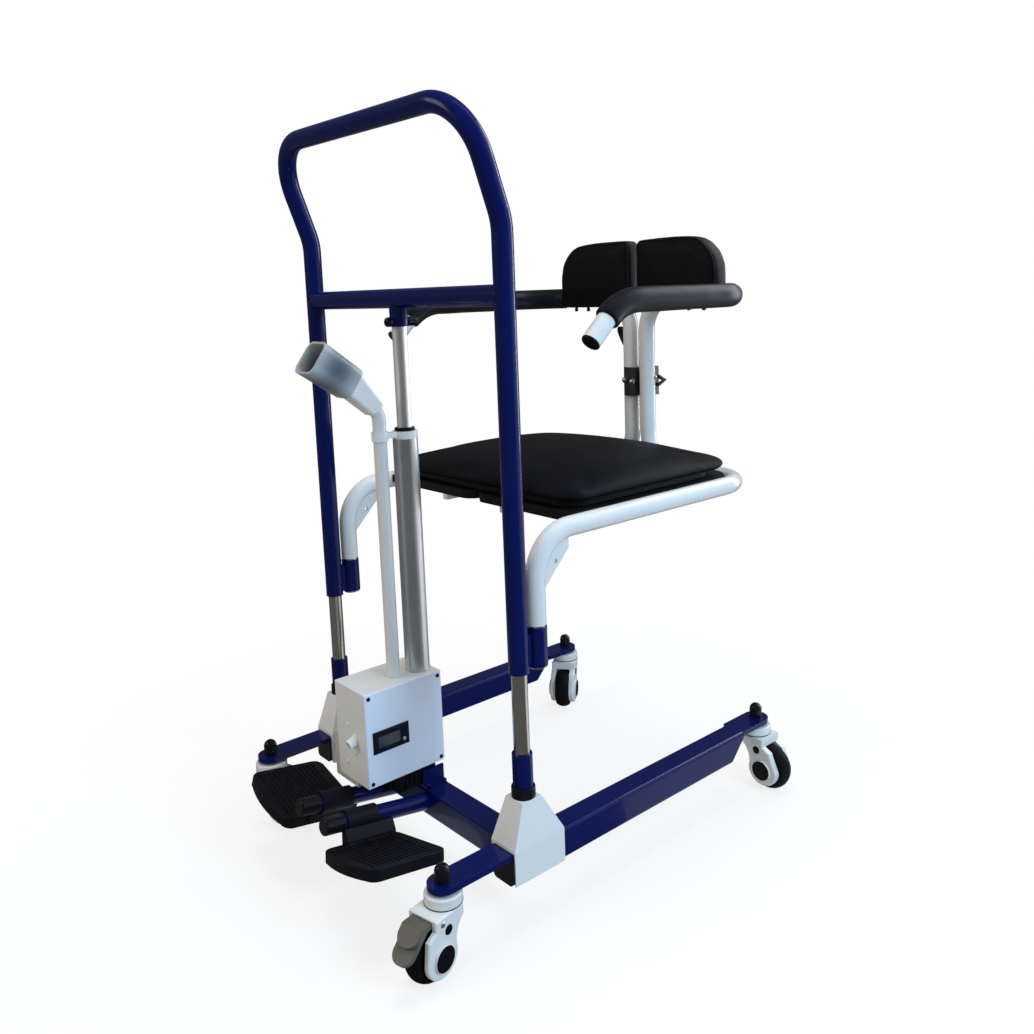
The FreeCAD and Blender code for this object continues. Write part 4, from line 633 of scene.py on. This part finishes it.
def evened(points, step):
    """The same closed outline with points about a step apart."""
    out = []
    for one, two in zip(points, points[1:] + points[:1]):
        gap = math.dist(one, two)
        count = max(1, round(gap / step))
        for i in range(count):
            t = i / count
            out.append((one[0] + (two[0] - one[0]) * t, one[1] + (two[1] - one[1]) * t))
    return out


def drawn_in(outline, middle, half, inset):
    """The outline scaled towards its middle, so that each side comes in by the inset."""
    scale_a, scale_b = 1 - inset / half[0], 1 - inset / half[1]
    mid_a, mid_b = middle
    return [(mid_a + (a - mid_a) * scale_a, mid_b + (b - mid_b) * scale_b) for a, b in outline]


# ---------------- soft goods

CLOTH_FRAMES = 20


def bake_modifiers(piece):
    """Puts the modified form in the mesh itself."""
    graph = bpy.context.evaluated_depsgraph_get()
    graph.update()
    mesh = bpy.data.meshes.new_from_object(piece.evaluated_get(graph))
    materials = list(piece.data.materials)
    piece.modifiers.clear()
    piece.data = mesh
    if not mesh.materials:
        for material in materials:
            mesh.materials.append(material)


def swell(piece, voxel, pressure, cap, pinned):
    """An even mesh and then a short inflation as cloth.

    No point ends further than cap from its start.
    """
    remesh = piece.modifiers.new("remesh", "REMESH")
    remesh.mode = "VOXEL"
    remesh.voxel_size = voxel
    remesh.use_smooth_shade = True
    bake_modifiers(piece)
    start = [vert.co.copy() for vert in piece.data.vertices]
    group = piece.vertex_groups.new(name="pinned")
    group.add([i for i, point in enumerate(start) if pinned(point)], 1.0, "REPLACE")
    cloth = piece.modifiers.new("cloth", "CLOTH")
    settings = cloth.settings
    settings.quality = 6
    settings.mass = 0.2
    settings.use_pressure = True
    settings.uniform_pressure_force = pressure
    settings.effector_weights.gravity = 0
    settings.tension_stiffness = 20
    settings.compression_stiffness = 20
    settings.bending_stiffness = 4
    settings.vertex_group_mass = "pinned"
    for number in range(1, CLOTH_FRAMES + 1):
        scene.frame_set(number)
    bake_modifiers(piece)
    for vert, first in zip(piece.data.vertices, start):
        move = vert.co - first
        if move.length > cap:
            vert.co = first + move * (cap / move.length)
    scene.frame_set(1)


def ease(piece, times):
    """Rubs the wrinkles of the simulation out of a mesh."""
    bm = bmesh.new()
    bm.from_mesh(piece.data)
    for step in range(times):
        bmesh.ops.smooth_vert(bm, verts=bm.verts, factor=0.5, use_axis_x=True, use_axis_y=True,
                              use_axis_z=True)
    bm.to_mesh(piece.data)
    bm.free()


def rumple(point, waves):
    """Unevenness at a point, as the sum of noises with a (frequency, height) each."""
    return sum(noise.noise(point * often) * height for often, height in waves)


def soften(piece):
    """One subdivision over the finished form."""
    piece.data.shade_smooth()
    smooth = piece.modifiers.new("subdivision", "SUBSURF")
    smooth.levels = 1
    smooth.render_levels = 1


CUSHION_BASE_H, CUSHION_BASE_INSET, CUSHION_BASE_CORNER = 0.010, 0.014, 0.04
CUSHION_BASE_SOFT, CUSHION_BASE_SUNK = 0.002, 0.001     # its lower edge's chamfer, its reach into the pad
CUSHION_CORNER = 0.032
CUSHION_SIDE, CUSHION_SOFT = 0.012, 0.002      # height of the upright edge, and its rounding
CUSHION_SIDE_PROUD, CUSHION_REAR_PROUD, CUSHION_CROWN_PROUD = 0.001, 0.017, 0.003     # of the CAD box
CUSHION_STEP = 0.02
CROWN_SQUARE, CROWN_ROUND = 2.2, 0.5           # exponents: squareness from above, roundness at the edge
CUSHION_UNDER = (0.15, 0.05, 0.012)            # insets of the rings under the pad
CUSHION_EDGE = ((0.004, 0.001), (0, 0.005))    # (inset, height) of those up its edge
CUSHION_TOP = (0.002, 0.006, 0.012, 0.02, 0.032, 0.05, 0.07, 0.095, 0.12, 0.15, 0.165)
CUSHION_WAVES = ((9.0, 0.0008), (26.0, 0.0001))
SEAM_UP, SEAM_HALF_WIDTH, SEAM_DEPTH = 0.004, 0.0016, 0.0010


def cushion_form(low, high):
    """Rings of the pad from the middle of its underside round the edge to the crown."""
    middle = (low + high) / 2
    half = (high.x - low.x) / 2, (high.y - low.y) / 2
    sharp = corner_outline((low.x, low.y), (high.x, high.y), [CUSHION_CORNER] * 4)
    outline = evened(sharp, CUSHION_STEP)
    upright_top = low.z + CUSHION_SIDE

    def ring(inset, height):
        flat = [Vector((a, b, 0)) for a, b in drawn_in(outline, middle[:2], half, inset)]
        return [point + Vector((0, 0, height(point))) for point in flat]

    def level(value):
        return lambda flat: value

    def crown(flat):
        u, v = abs(flat.x - middle.x) / half[0], abs(flat.y - middle.y) / half[1]
        rise = max(0.0, (1 - u ** CROWN_SQUARE) * (1 - v ** CROWN_SQUARE)) ** CROWN_ROUND
        return upright_top + (high.z - low.z - CUSHION_SIDE) * rise

    rings = [ring(inset, level(low.z)) for inset in CUSHION_UNDER]
    rings += [ring(inset, level(low.z + up)) for inset, up in CUSHION_EDGE]
    rings.append(ring(0, level(upright_top - CUSHION_SOFT)))
    rings += [ring(inset, crown) for inset in CUSHION_TOP]
    return rings


def make_cushion():
    """The lift-off cushion: a blown-up pad with a seam line, on a board that is set in from its edge."""
    low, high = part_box("cushion")
    middle = (low + high) / 2
    bm = bmesh.new()
    form_low = low + Vector((-CUSHION_SIDE_PROUD, 0, CUSHION_BASE_H))
    form_high = high + Vector((CUSHION_SIDE_PROUD, CUSHION_REAR_PROUD, CUSHION_CROWN_PROUD))
    join_rings(bm, cushion_form(form_low, form_high))
    pad = finish_piece("cushion_pad", bm, vinyl, "cushion", None)
    floor_z = low.z + CUSHION_BASE_H
    swell(pad, voxel=0.005, pressure=4.0, cap=0.004, pinned=lambda point: point.z < floor_z + 0.003)
    ease(pad, 12)
    seam_z = floor_z + SEAM_UP
    for vert in pad.data.vertices:
        point = vert.co
        dent = math.exp(-((point.z - seam_z) / SEAM_HALF_WIDTH) ** 2)
        outward = Vector((point.x - middle.x, point.y - middle.y, 0)).normalized()
        vert.co -= outward * dent * SEAM_DEPTH
        if point.z > floor_z + CUSHION_SIDE:
            vert.co.z += rumple(point, CUSHION_WAVES)
        vert.co.z = max(vert.co.z, floor_z)
    soften(pad)
    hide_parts("cushion")
    bm = bmesh.new()
    rings = []
    soft, sunk = CUSHION_BASE_SOFT, CUSHION_BASE_SUNK
    for shrink, z in ((soft, low.z), (0, low.z + soft), (0, floor_z + sunk)):
        edge = CUSHION_BASE_INSET + shrink
        corners = (low.x + edge, low.y + edge), (high.x - edge, high.y - edge)
        outline = corner_outline(*corners, [CUSHION_BASE_CORNER] * 4)
        rings.append([Vector((a, b, z)) for a, b in outline])
    join_rings(bm, rings)
    base = finish_piece("cushion_base_panel", bm, board_black, "cushion", 30)
    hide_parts("cushion")


PAD_OUTER_CORNER, PAD_INNER_CORNER, PAD_FOOT_CORNER = 0.062, 0.009, 0.006
PAD_MARGIN = 0.0015       # left free inside the CAD box for the swelling
PAD_STEP, PIPING_STEP = 0.008, 0.004
PAD_CROWN, PAD_CROWN_IN = 0.004, 0.05     # the front's rise, and how far in from the edge it ends
PAD_BACK = ((0.045, 0), (0.02, 0), (0.006, 0), (0.0015, 0.0015), (0, 0.005))     # (inset, depth)
PAD_SOFT, PAD_SOFT_IN = 0.003, 0.0012     # rounding of the front edge, in depth and inwards
PAD_FRONT = (0.004, 0.01, 0.018, 0.03, 0.045, 0.056)
PAD_WAVES = ((14.0, 0.0007), (40.0, 0.0001))
PAD_WAVES_DEPTH, PAD_WAVES_FADE = 0.012, 0.008     # they fade to nothing over FADE, at DEPTH
PIPING_R = 0.0013


def pad_outline(low, high, outward, step):
    """The pad's outline in x and z, with its large corner on the outer side."""
    top = (PAD_OUTER_CORNER, PAD_INNER_CORNER) if outward > 0 else (PAD_INNER_CORNER, PAD_OUTER_CORNER)
    radii = (PAD_FOOT_CORNER, PAD_FOOT_CORNER, *top)
    return evened(corner_outline((low.x, low.z), (high.x, high.z), radii), step)


def pad_rings(low, high, outward):
    """Rings through the pad's thickness, from the middle of its back to the middle of its front."""
    outline = pad_outline(low, high, outward, PAD_STEP)
    middle = (low.x + high.x) / 2, (low.z + high.z) / 2
    half = (high.x - low.x) / 2, (high.z - low.z) / 2

    def ring(inset, y):
        return [Vector((a, y, b)) for a, b in drawn_in(outline, middle, half, inset)]

    rings = [ring(inset, high.y - depth) for inset, depth in PAD_BACK]
    rings += [ring(0, low.y + PAD_CROWN + PAD_SOFT), ring(PAD_SOFT_IN, low.y + PAD_CROWN)]
    for inset in PAD_FRONT:
        rise = PAD_CROWN * (1 - (1 - min(1.0, inset / PAD_CROWN_IN)) ** 2)
        rings.append(ring(inset, low.y + PAD_CROWN - rise))
    return rings


def make_back_pad(side):
    """One half of the back rest, blown up inside its CAD box, with piping round its front edge."""
    node = "back_pad_" + side
    body = "seat_half_" + side
    outward = 1 if side == "left" else -1
    low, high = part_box(node)
    margin = Vector((PAD_MARGIN, PAD_MARGIN, PAD_MARGIN))
    inner_low, inner_high = low + margin, high - margin
    bm = bmesh.new()
    join_rings(bm, pad_rings(inner_low, inner_high, outward))
    pad = finish_piece("back_cushion_" + side, bm, pad_vinyl_painted_shade, body, None)
    foot, back = inner_low.z + 0.004, inner_high.y - 0.002
    swell(pad, voxel=0.004, pressure=3.0, cap=0.003,
          pinned=lambda point: point.z < foot or point.y > back)
    ease(pad, 3)
    for vert in pad.data.vertices:
        point = vert.co
        face = max(0.0, min(1.0, (low.y + PAD_WAVES_DEPTH - point.y) / PAD_WAVES_FADE))
        vert.co.y += rumple(point, PAD_WAVES) * face
        for axis in range(3):
            vert.co[axis] = min(max(vert.co[axis], low[axis]), high[axis])
    soften(pad)
    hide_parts(node)
    bm = bmesh.new()
    edge = pad_outline(inner_low, inner_high, outward, PIPING_STEP)
    route = [Vector((a, inner_low.y + PAD_CROWN, b)) for a, b in edge]
    add_bead(bm, [pad.closest_point_on_mesh(point)[1] for point in route], PIPING_R, 10)
    piping = finish_piece("back_piping_" + side, bm, pad_vinyl_painted_shade, body, None)


GRIP_R, GRIP_BORE, GRIP_RIM = 0.0185, 0.0143, 0.0035      # outer radius, bore, rounding of the ends
GRIP_SIDES, GRIP_STEPS, GRIP_BORE_STEPS = 40, 110, 40
GRIP_FROM_PAD, GRIP_TUCK = -0.0006, 0.001     # where its bend begins, and what runs on behind the pad
GRIP_WAVES = ((30.0, 0.00035),)
ARM_REAR_R, ARM_BEND_R = 0.075, 0.095   # bend radii of the arm's tube, by the pad and at the front
ARM_BEND_FROM_REAR = 0.3004
ARM_DIP = math.radians(43.0)
ARM_END, ARM_BARE = 0.0797, 0.0423      # tube past the front bend's corner, and its part without foam
ARM_STEP = 0.006


def rounded_route(points, radii, step):
    """Points along straight runs joined by tangent arcs."""
    route = [points[0]]
    for before, corner, after, radius in zip(points, points[1:], points[2:], radii):
        one, two = (corner - before).normalized(), (after - corner).normalized()
        turn = one.angle(two)
        reach = radius * math.tan(turn / 2)
        inward = (two - one * one.dot(two)).normalized()
        first = corner - one * reach
        hub = first + inward * radius
        count = max(3, round(turn * radius / step))
        for i in range(count + 1):
            angle = turn * i / count
            route.append(hub - inward * radius * math.cos(angle) + one * radius * math.sin(angle))
    route.append(points[-1])
    fine = []
    for one, two in zip(route, route[1:]):
        count = max(1, round((two - one).length / step))
        fine += [one.lerp(two, i / count) for i in range(count)]
    return fine + [route[-1]]


def sleeve_profile(length, outer, bore, rim):
    """The wall's half section as (distance along, radius): out of one end, along, in, and back."""
    quarter = [math.radians(angle) for angle in range(0, 91, 15)]
    profile = [(rim - rim * math.cos(a), outer - rim + rim * math.sin(a)) for a in quarter]
    profile += [(rim + (length - 2 * rim) * i / GRIP_STEPS, outer) for i in range(1, GRIP_STEPS)]
    profile += [(length - rim + rim * math.sin(a), outer - rim + rim * math.cos(a)) for a in quarter]
    profile += [(length - length * i / GRIP_BORE_STEPS, bore) for i in range(GRIP_BORE_STEPS + 1)]
    return profile


def along_route(route):
    """A function from the distance along a route to the place and heading there, and the length."""
    lengths = [0.0]
    for one, two in zip(route, route[1:]):
        lengths.append(lengths[-1] + (two - one).length)

    def at(distance):
        i = 1
        while i < len(route) - 1 and lengths[i] < distance:
            i += 1
        t = (distance - lengths[i - 1]) / (lengths[i] - lengths[i - 1])
        heading = route[min(i + 1, len(route) - 1)] - route[max(i - 2, 0)]
        return route[i - 1].lerp(route[i], t), heading.normalized()

    return at, lengths[-1]


def arm_route(outward):
    """The grip's axis from beside the back pad, round the corner and down the front bend."""
    pad_low, pad_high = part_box("back_pad_left")
    leg_x = MIDDLE.x + ARM_HALF_SPAN
    rear_y = (pad_low.y + pad_high.y) / 2
    swing = math.asin((pad_high.x + GRIP_FROM_PAD - leg_x + ARM_REAR_R) / ARM_REAR_R)
    hub = Vector((leg_x - ARM_REAR_R, rear_y - ARM_REAR_R, ARM_Z))
    start = hub + Vector((math.sin(swing), math.cos(swing), 0)) * ARM_REAR_R
    along = Vector((math.cos(swing), -math.sin(swing), 0))
    corner = start + along * ((leg_x - start.x) / along.x)
    bend = Vector((leg_x, rear_y - ARM_BEND_FROM_REAR, ARM_Z))
    end = bend + Vector((0, -math.cos(ARM_DIP), -math.sin(ARM_DIP))) * (ARM_END - ARM_BARE)
    points = [start - along * GRIP_TUCK, corner, bend, end]
    if outward < 0:
        points = [Vector((2 * MIDDLE.x - p.x, p.y, p.z)) for p in points]
    return rounded_route(points, [ARM_REAR_R, ARM_BEND_R], ARM_STEP)


def make_arm_grip(side):
    """A foam sleeve round the arm's tube, its outside a little uneven."""
    at, length = along_route(arm_route(1 if side == "left" else -1))
    rings = []
    for distance, radius in sleeve_profile(length, GRIP_R, GRIP_BORE, GRIP_RIM):
        place, heading = at(distance)
        ring = turned_ring(place, heading, radius, GRIP_SIDES)
        if radius > GRIP_R - GRIP_RIM:
            ring = [p + (p - place).normalized() * rumple(p, GRIP_WAVES) for p in ring]
        rings.append(ring)
    bm = bmesh.new()
    join_rings(bm, rings, closed=True)
    grip = finish_piece("foam_grip_" + side, bm, foam, "seat_half_" + side, None)
    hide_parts("arm_grip_" + side)


make_cushion()
for side in sides:
    make_back_pad(side)
    make_arm_grip(side)


# ---------------- caster trim

FORK_HALF, FORK_BOSS_HALF = 0.024, 0.0275     # from the caster's middle to its cheeks and bosses
PLUG_TRAIL, PLUG_UP = 0.018, 0.0325           # of a cheek's plug, from the stem and from the axle
DARK_RING_DROP, DARK_RING_H, DARK_RING_IN, DARK_RING_PROUD = 0.0002, 0.0010, 0.001, 0.0003     # by the bearing ring's edge
# profiles: (distance out from the cheek, radius)
HUB_CAP = ((-0.0012, 0.0165), (0.0001, 0.0165), (0.0004, 0.0160), (0.0006, 0.0140), (0.0004, 0.0124),
           (0.0005, 0.0112), (0.0006, 0.0045))
CHEEK_PLUG = ((-0.001, 0.0066), (0.0003, 0.0066), (0.0007, 0.0060), (0.0008, 0.0030))
BRAKE_PIN = ((-0.0006, 0.0036), (0.0006, 0.0036), (0.0013, 0.0029), (0.0016, 0.0012))


def make_caster_trim(name):
    """Black hub caps and plugs on both cheeks, and a thin black ring that draws the dark line under the
    bearing ring.
    """
    body = "caster_fork_" + name
    stem = Vector(joints["swivel_" + name]["pos_m"])
    axle = Vector(joints["roll_" + name]["pos_m"])
    way = Vector(joints["roll_" + name]["axis"]).normalized()
    trail = Vector((axle.x - stem.x, axle.y - stem.y, 0)).normalized()
    caps = bmesh.new()
    for out in (way, -way):
        add_turned(caps, axle + out * FORK_BOSS_HALF, out, HUB_CAP, 40)
        plug = stem + trail * PLUG_TRAIL + out * FORK_HALF
        plug.z = axle.z + PLUG_UP
        add_turned(caps, plug, out, CHEEK_PLUG, 28)
    finish_piece("caster_caps_" + name, caps, cap_plastic, body)
    rings = loose_parts("caster_bearing_rings")
    ring_low, ring_high = min(rings, key=lambda box: ((box[0] + box[1]) / 2 - stem).length)
    edge = (ring_high.x - ring_low.x) / 2
    dark_ring = bmesh.new()
    place = Vector((stem.x, stem.y, ring_low.z))
    inner, outer = edge - DARK_RING_IN, edge + DARK_RING_PROUD
    profile = ((-DARK_RING_DROP, inner), (-DARK_RING_DROP, outer), (DARK_RING_H, outer), (DARK_RING_H, inner))
    add_turned(dark_ring, place, Vector((0, 0, 1)), profile, 56)
    finish_piece("caster_dark_ring_" + name, dark_ring, black_plastic, "base")
    brake = joints.get("brake_" + name)
    if not brake:
        return
    pins = bmesh.new()
    for out in (way, -way):
        add_turned(pins, Vector(brake["pos_m"]) + out * FORK_HALF, out, BRAKE_PIN, 24)
    finish_piece("brake_pins_" + name, pins, bright_steel, body)


for name in casters:
    make_caster_trim(name)


# ---------------- box trim

SCREW_KINDS = {      # the way the heads face, and their look
    "lid_screws": (Vector((1, 0, 0)), black_plastic),
    "front_screws": (Vector((0, -1, 0)), white_plastic),
    "bracket_bolts": (Vector((0, 0, 1)), bright_steel),
}
SCREW_HEAD = ((-0.0016, 1), (-0.0009, 1), (-0.0003, 0.86), (0.0, 0.55))   # (height, share of radius)
SHANK_R, SHANK_EDGE, SHANK_STOP = 0.0016, 0.0004, 0.0012                  # it stops inside the head
SLOT_DEPTH, SLOT_PROUD, SLOT_EDGE = 0.0004, 0.00005, 0.00005
SLOT_LENGTH, SLOT_WIDTH = 1.1, 0.28                                       # shares of the head's radius


def add_cross_screw(heads, recess_shade, top, way, head_r):
    """A pan head, and a cross of painted shade where its driving slot is, as a mesh of its own."""
    add_turned(heads, top, way, [(along, head_r * share) for along, share in SCREW_HEAD], 24)
    size = (head_r * SLOT_LENGTH, head_r * SLOT_WIDTH, SLOT_DEPTH + SLOT_PROUD)
    for arm in axes_about(way):
        add_block(recess_shade, top - way * SLOT_DEPTH, arm, arm.cross(way), size, SLOT_EDGE)


def make_screws():
    """Every CAD screw again with a driven head: black in the lid, pale in the front, bright below."""
    groups = {name: [] for name in SCREW_KINDS}
    lid_face, box_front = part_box("box_lid")[1].x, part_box("box_body")[0].y
    for low, high in loose_parts("steel_screws"):
        if high.x > lid_face:
            groups["lid_screws"].append((low, high))
        elif low.y < box_front:
            groups["front_screws"].append((low, high))
        else:
            groups["bracket_bolts"].append((low, high))
    for name, boxes in groups.items():
        way, material = SCREW_KINDS[name]
        heads, recess_shade = bmesh.new(), bmesh.new()
        for low, high in boxes:
            first, last = (low, high) if sum(way) > 0 else (high, low)
            foot = Vector(first[i] if way[i] else (low[i] + high[i]) / 2 for i in range(3))
            top = Vector(last[i] if way[i] else (low[i] + high[i]) / 2 for i in range(3))
            across = max(high[i] - low[i] for i in range(3) if not way[i])
            add_cross_screw(heads, recess_shade, top, way, across / 2)
            neck = abs((high - low).dot(way)) - SHANK_STOP
            shank = ((0, SHANK_R - SHANK_EDGE), (SHANK_EDGE, SHANK_R), (neck, SHANK_R))
            add_turned(heads, foot, way, shank, 20)
        head = finish_piece(name, heads, material, "base")
        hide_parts("steel_screws")
        # the crosses of painted shade in the heads' slots
        finish_piece(name + "_recess", recess_shade, hole_painted_shade, "base")


INLET_DEPTH = 0.004
INLET_FLOOR = ((0.0, 0.0034), (0.0006, 0.0034))                     # (distance out, radius)
INLET_PIN = ((0.0, 0.0009), (0.005, 0.0009), (0.0056, 0.0004))


def make_charge_hole():
    """The floor of the charging inlet and its centre contact, both in painted shade."""
    mount = frame["record"]["mounts"][0]     # the charge inlet
    place = Vector(mount["pos_m"])
    way = Vector(mount["axis"]).normalized()
    if way.y > 0:
        way = -way
    bm = bmesh.new()
    add_turned(bm, place - way * INLET_DEPTH, way, INLET_FLOOR, 28)
    add_turned(bm, place - way * (INLET_DEPTH - 0.0006), way, INLET_PIN, 16)
    finish_piece("charge_contact", bm, hole_painted_shade, "base")


make_screws()
make_charge_hole()


# ---------------- welds and small fasteners

WELD_R, WELD_RIPPLE, WELD_WAVE, WELD_STEPS = 0.0017, 0.12, 0.0022, 72
WELD_OFF = 0.0006      # keeps the bead's two tips off the post's axis


def make_crossbar_welds():
    """Beads where the crossbar meets the posts, on the curve that two equal tubes share."""
    bar_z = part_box("handle_crossbar")[1].z - TUBE_R
    bm = bmesh.new()
    for out in (-1, 1):
        post_x = MIDDLE.x + out * ARM_HALF_SPAN
        points = []
        for i in range(WELD_STEPS):
            angle = math.tau * i / WELD_STEPS
            y = TUBE_R * math.cos(angle)
            x = post_x - out * math.sqrt(max(TUBE_R ** 2 - y * y, 0) + WELD_OFF ** 2)
            points.append(Vector((x, MIDDLE.y + y, bar_z + TUBE_R * math.sin(angle))))
        add_bead(bm, points, WELD_R, 8, WELD_RIPPLE, WELD_WAVE)
    finish_piece("crossbar_welds", bm, blue_paint, "lift_frame", None)


PAD_SCREW = ((0, 0.0028), (0.0068, 0.0028), (0.0068, 0.0036), (0.0088, 0.0038), (0.0104, 0.0028),
             (0.0110, 0.0010))      # (distance down from the arm's tube, radius)
PAD_SCREW_REACHES = (0.120, 0.152)
PAD_SCREW_FORWARD, PAD_SCREW_SUNK = 0.006, 0.0002


def make_pad_screws():
    """The tips of the screws that hold each pad, below its lower edge."""
    for side, out in (("left", 1), ("right", -1)):
        low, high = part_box("back_pad_" + side)
        y = (low.y + high.y) / 2 - PAD_SCREW_FORWARD
        bm = bmesh.new()
        for reach in PAD_SCREW_REACHES:
            place = Vector((MIDDLE.x + out * reach, y, ARM_Z - TUBE_R + PAD_SCREW_SUNK))
            add_turned(bm, place, Vector((0, 0, -1)), PAD_SCREW, 20)
        finish_piece("pad_screws_" + side, bm, black_plastic, "seat_half_" + side)


THUMB_OUTLINE = (          # (x, z) from the lever's low edge in x and its top
    (-0.003, -0.0275), (-0.0175, -0.0085), (-0.0265, 0.0125), (-0.0195, 0.0185), (0.0035, 0.0105),
    (0.0145, -0.0015), (0.0225, -0.0265),
)
THUMB_WALL, THUMB_EDGE = 0.0011, 0.0012


def cut_corners(points, times):
    """A closed outline with its corners cut again and again, towards a curve."""
    for step in range(times):
        cut = []
        for one, two in zip(points, points[1:] + points[:1]):
            cut += [one.lerp(two, 0.25), one.lerp(two, 0.75)]
        points = cut
    return points


def make_thumb_sleeve():
    """The moulded sleeve on the latch lever's tongue, leaning out past the upright."""
    low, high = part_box("latch_lever")
    outline = cut_corners([Vector((low.x + x, 0, high.z + z)) for x, z in THUMB_OUTLINE], 3)
    middle = sum(outline, Vector()) / len(outline)
    front, back = low.y - THUMB_WALL, high.y + THUMB_WALL
    edges = ((THUMB_EDGE, front), (0, front + THUMB_EDGE), (0, back - THUMB_EDGE), (THUMB_EDGE, back))
    rings = []
    for inset, y in edges:
        ring = [point - (point - middle).normalized() * inset + Vector((0, y, 0)) for point in outline]
        rings.append(ring)
    bm = bmesh.new()
    join_rings(bm, rings)
    finish_piece("latch_thumb_sleeve", bm, black_plastic, "latch_lever")


LATCH_DOME = ((-0.0006, 0.0055), (0.0018, 0.0055), (0.0034, 0.0049), (0.0046, 0.0033), (0.0051, 0.0013))
LATCH_SCREW_IN, LATCH_SCREW_UPS = 0.004, (0.028, 0.026)
PLATE_SCREW = Vector((0.0225, 0, 0.030))      # from the plate's low corner


def make_latch_screws():
    """Bright domed screws that clamp the latch block and the latch plate to the uprights."""
    front = Vector((0, -1, 0))
    low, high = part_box("latch_block")
    screws = bmesh.new()
    for x, up in zip((low.x + LATCH_SCREW_IN, high.x - LATCH_SCREW_IN), LATCH_SCREW_UPS):
        add_turned(screws, Vector((x, low.y, low.z + up)), front, LATCH_DOME, 28)
    finish_piece("latch_block_screws", screws, bright_steel, "seat_half_right")
    low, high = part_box("latch_plate")
    screws = bmesh.new()
    add_turned(screws, low + PLATE_SCREW, front, LATCH_DOME, 28)
    finish_piece("latch_plate_screws", screws, bright_steel, "seat_half_left")


make_crossbar_welds()
make_pad_screws()
make_latch_screws()
make_thumb_sleeve()
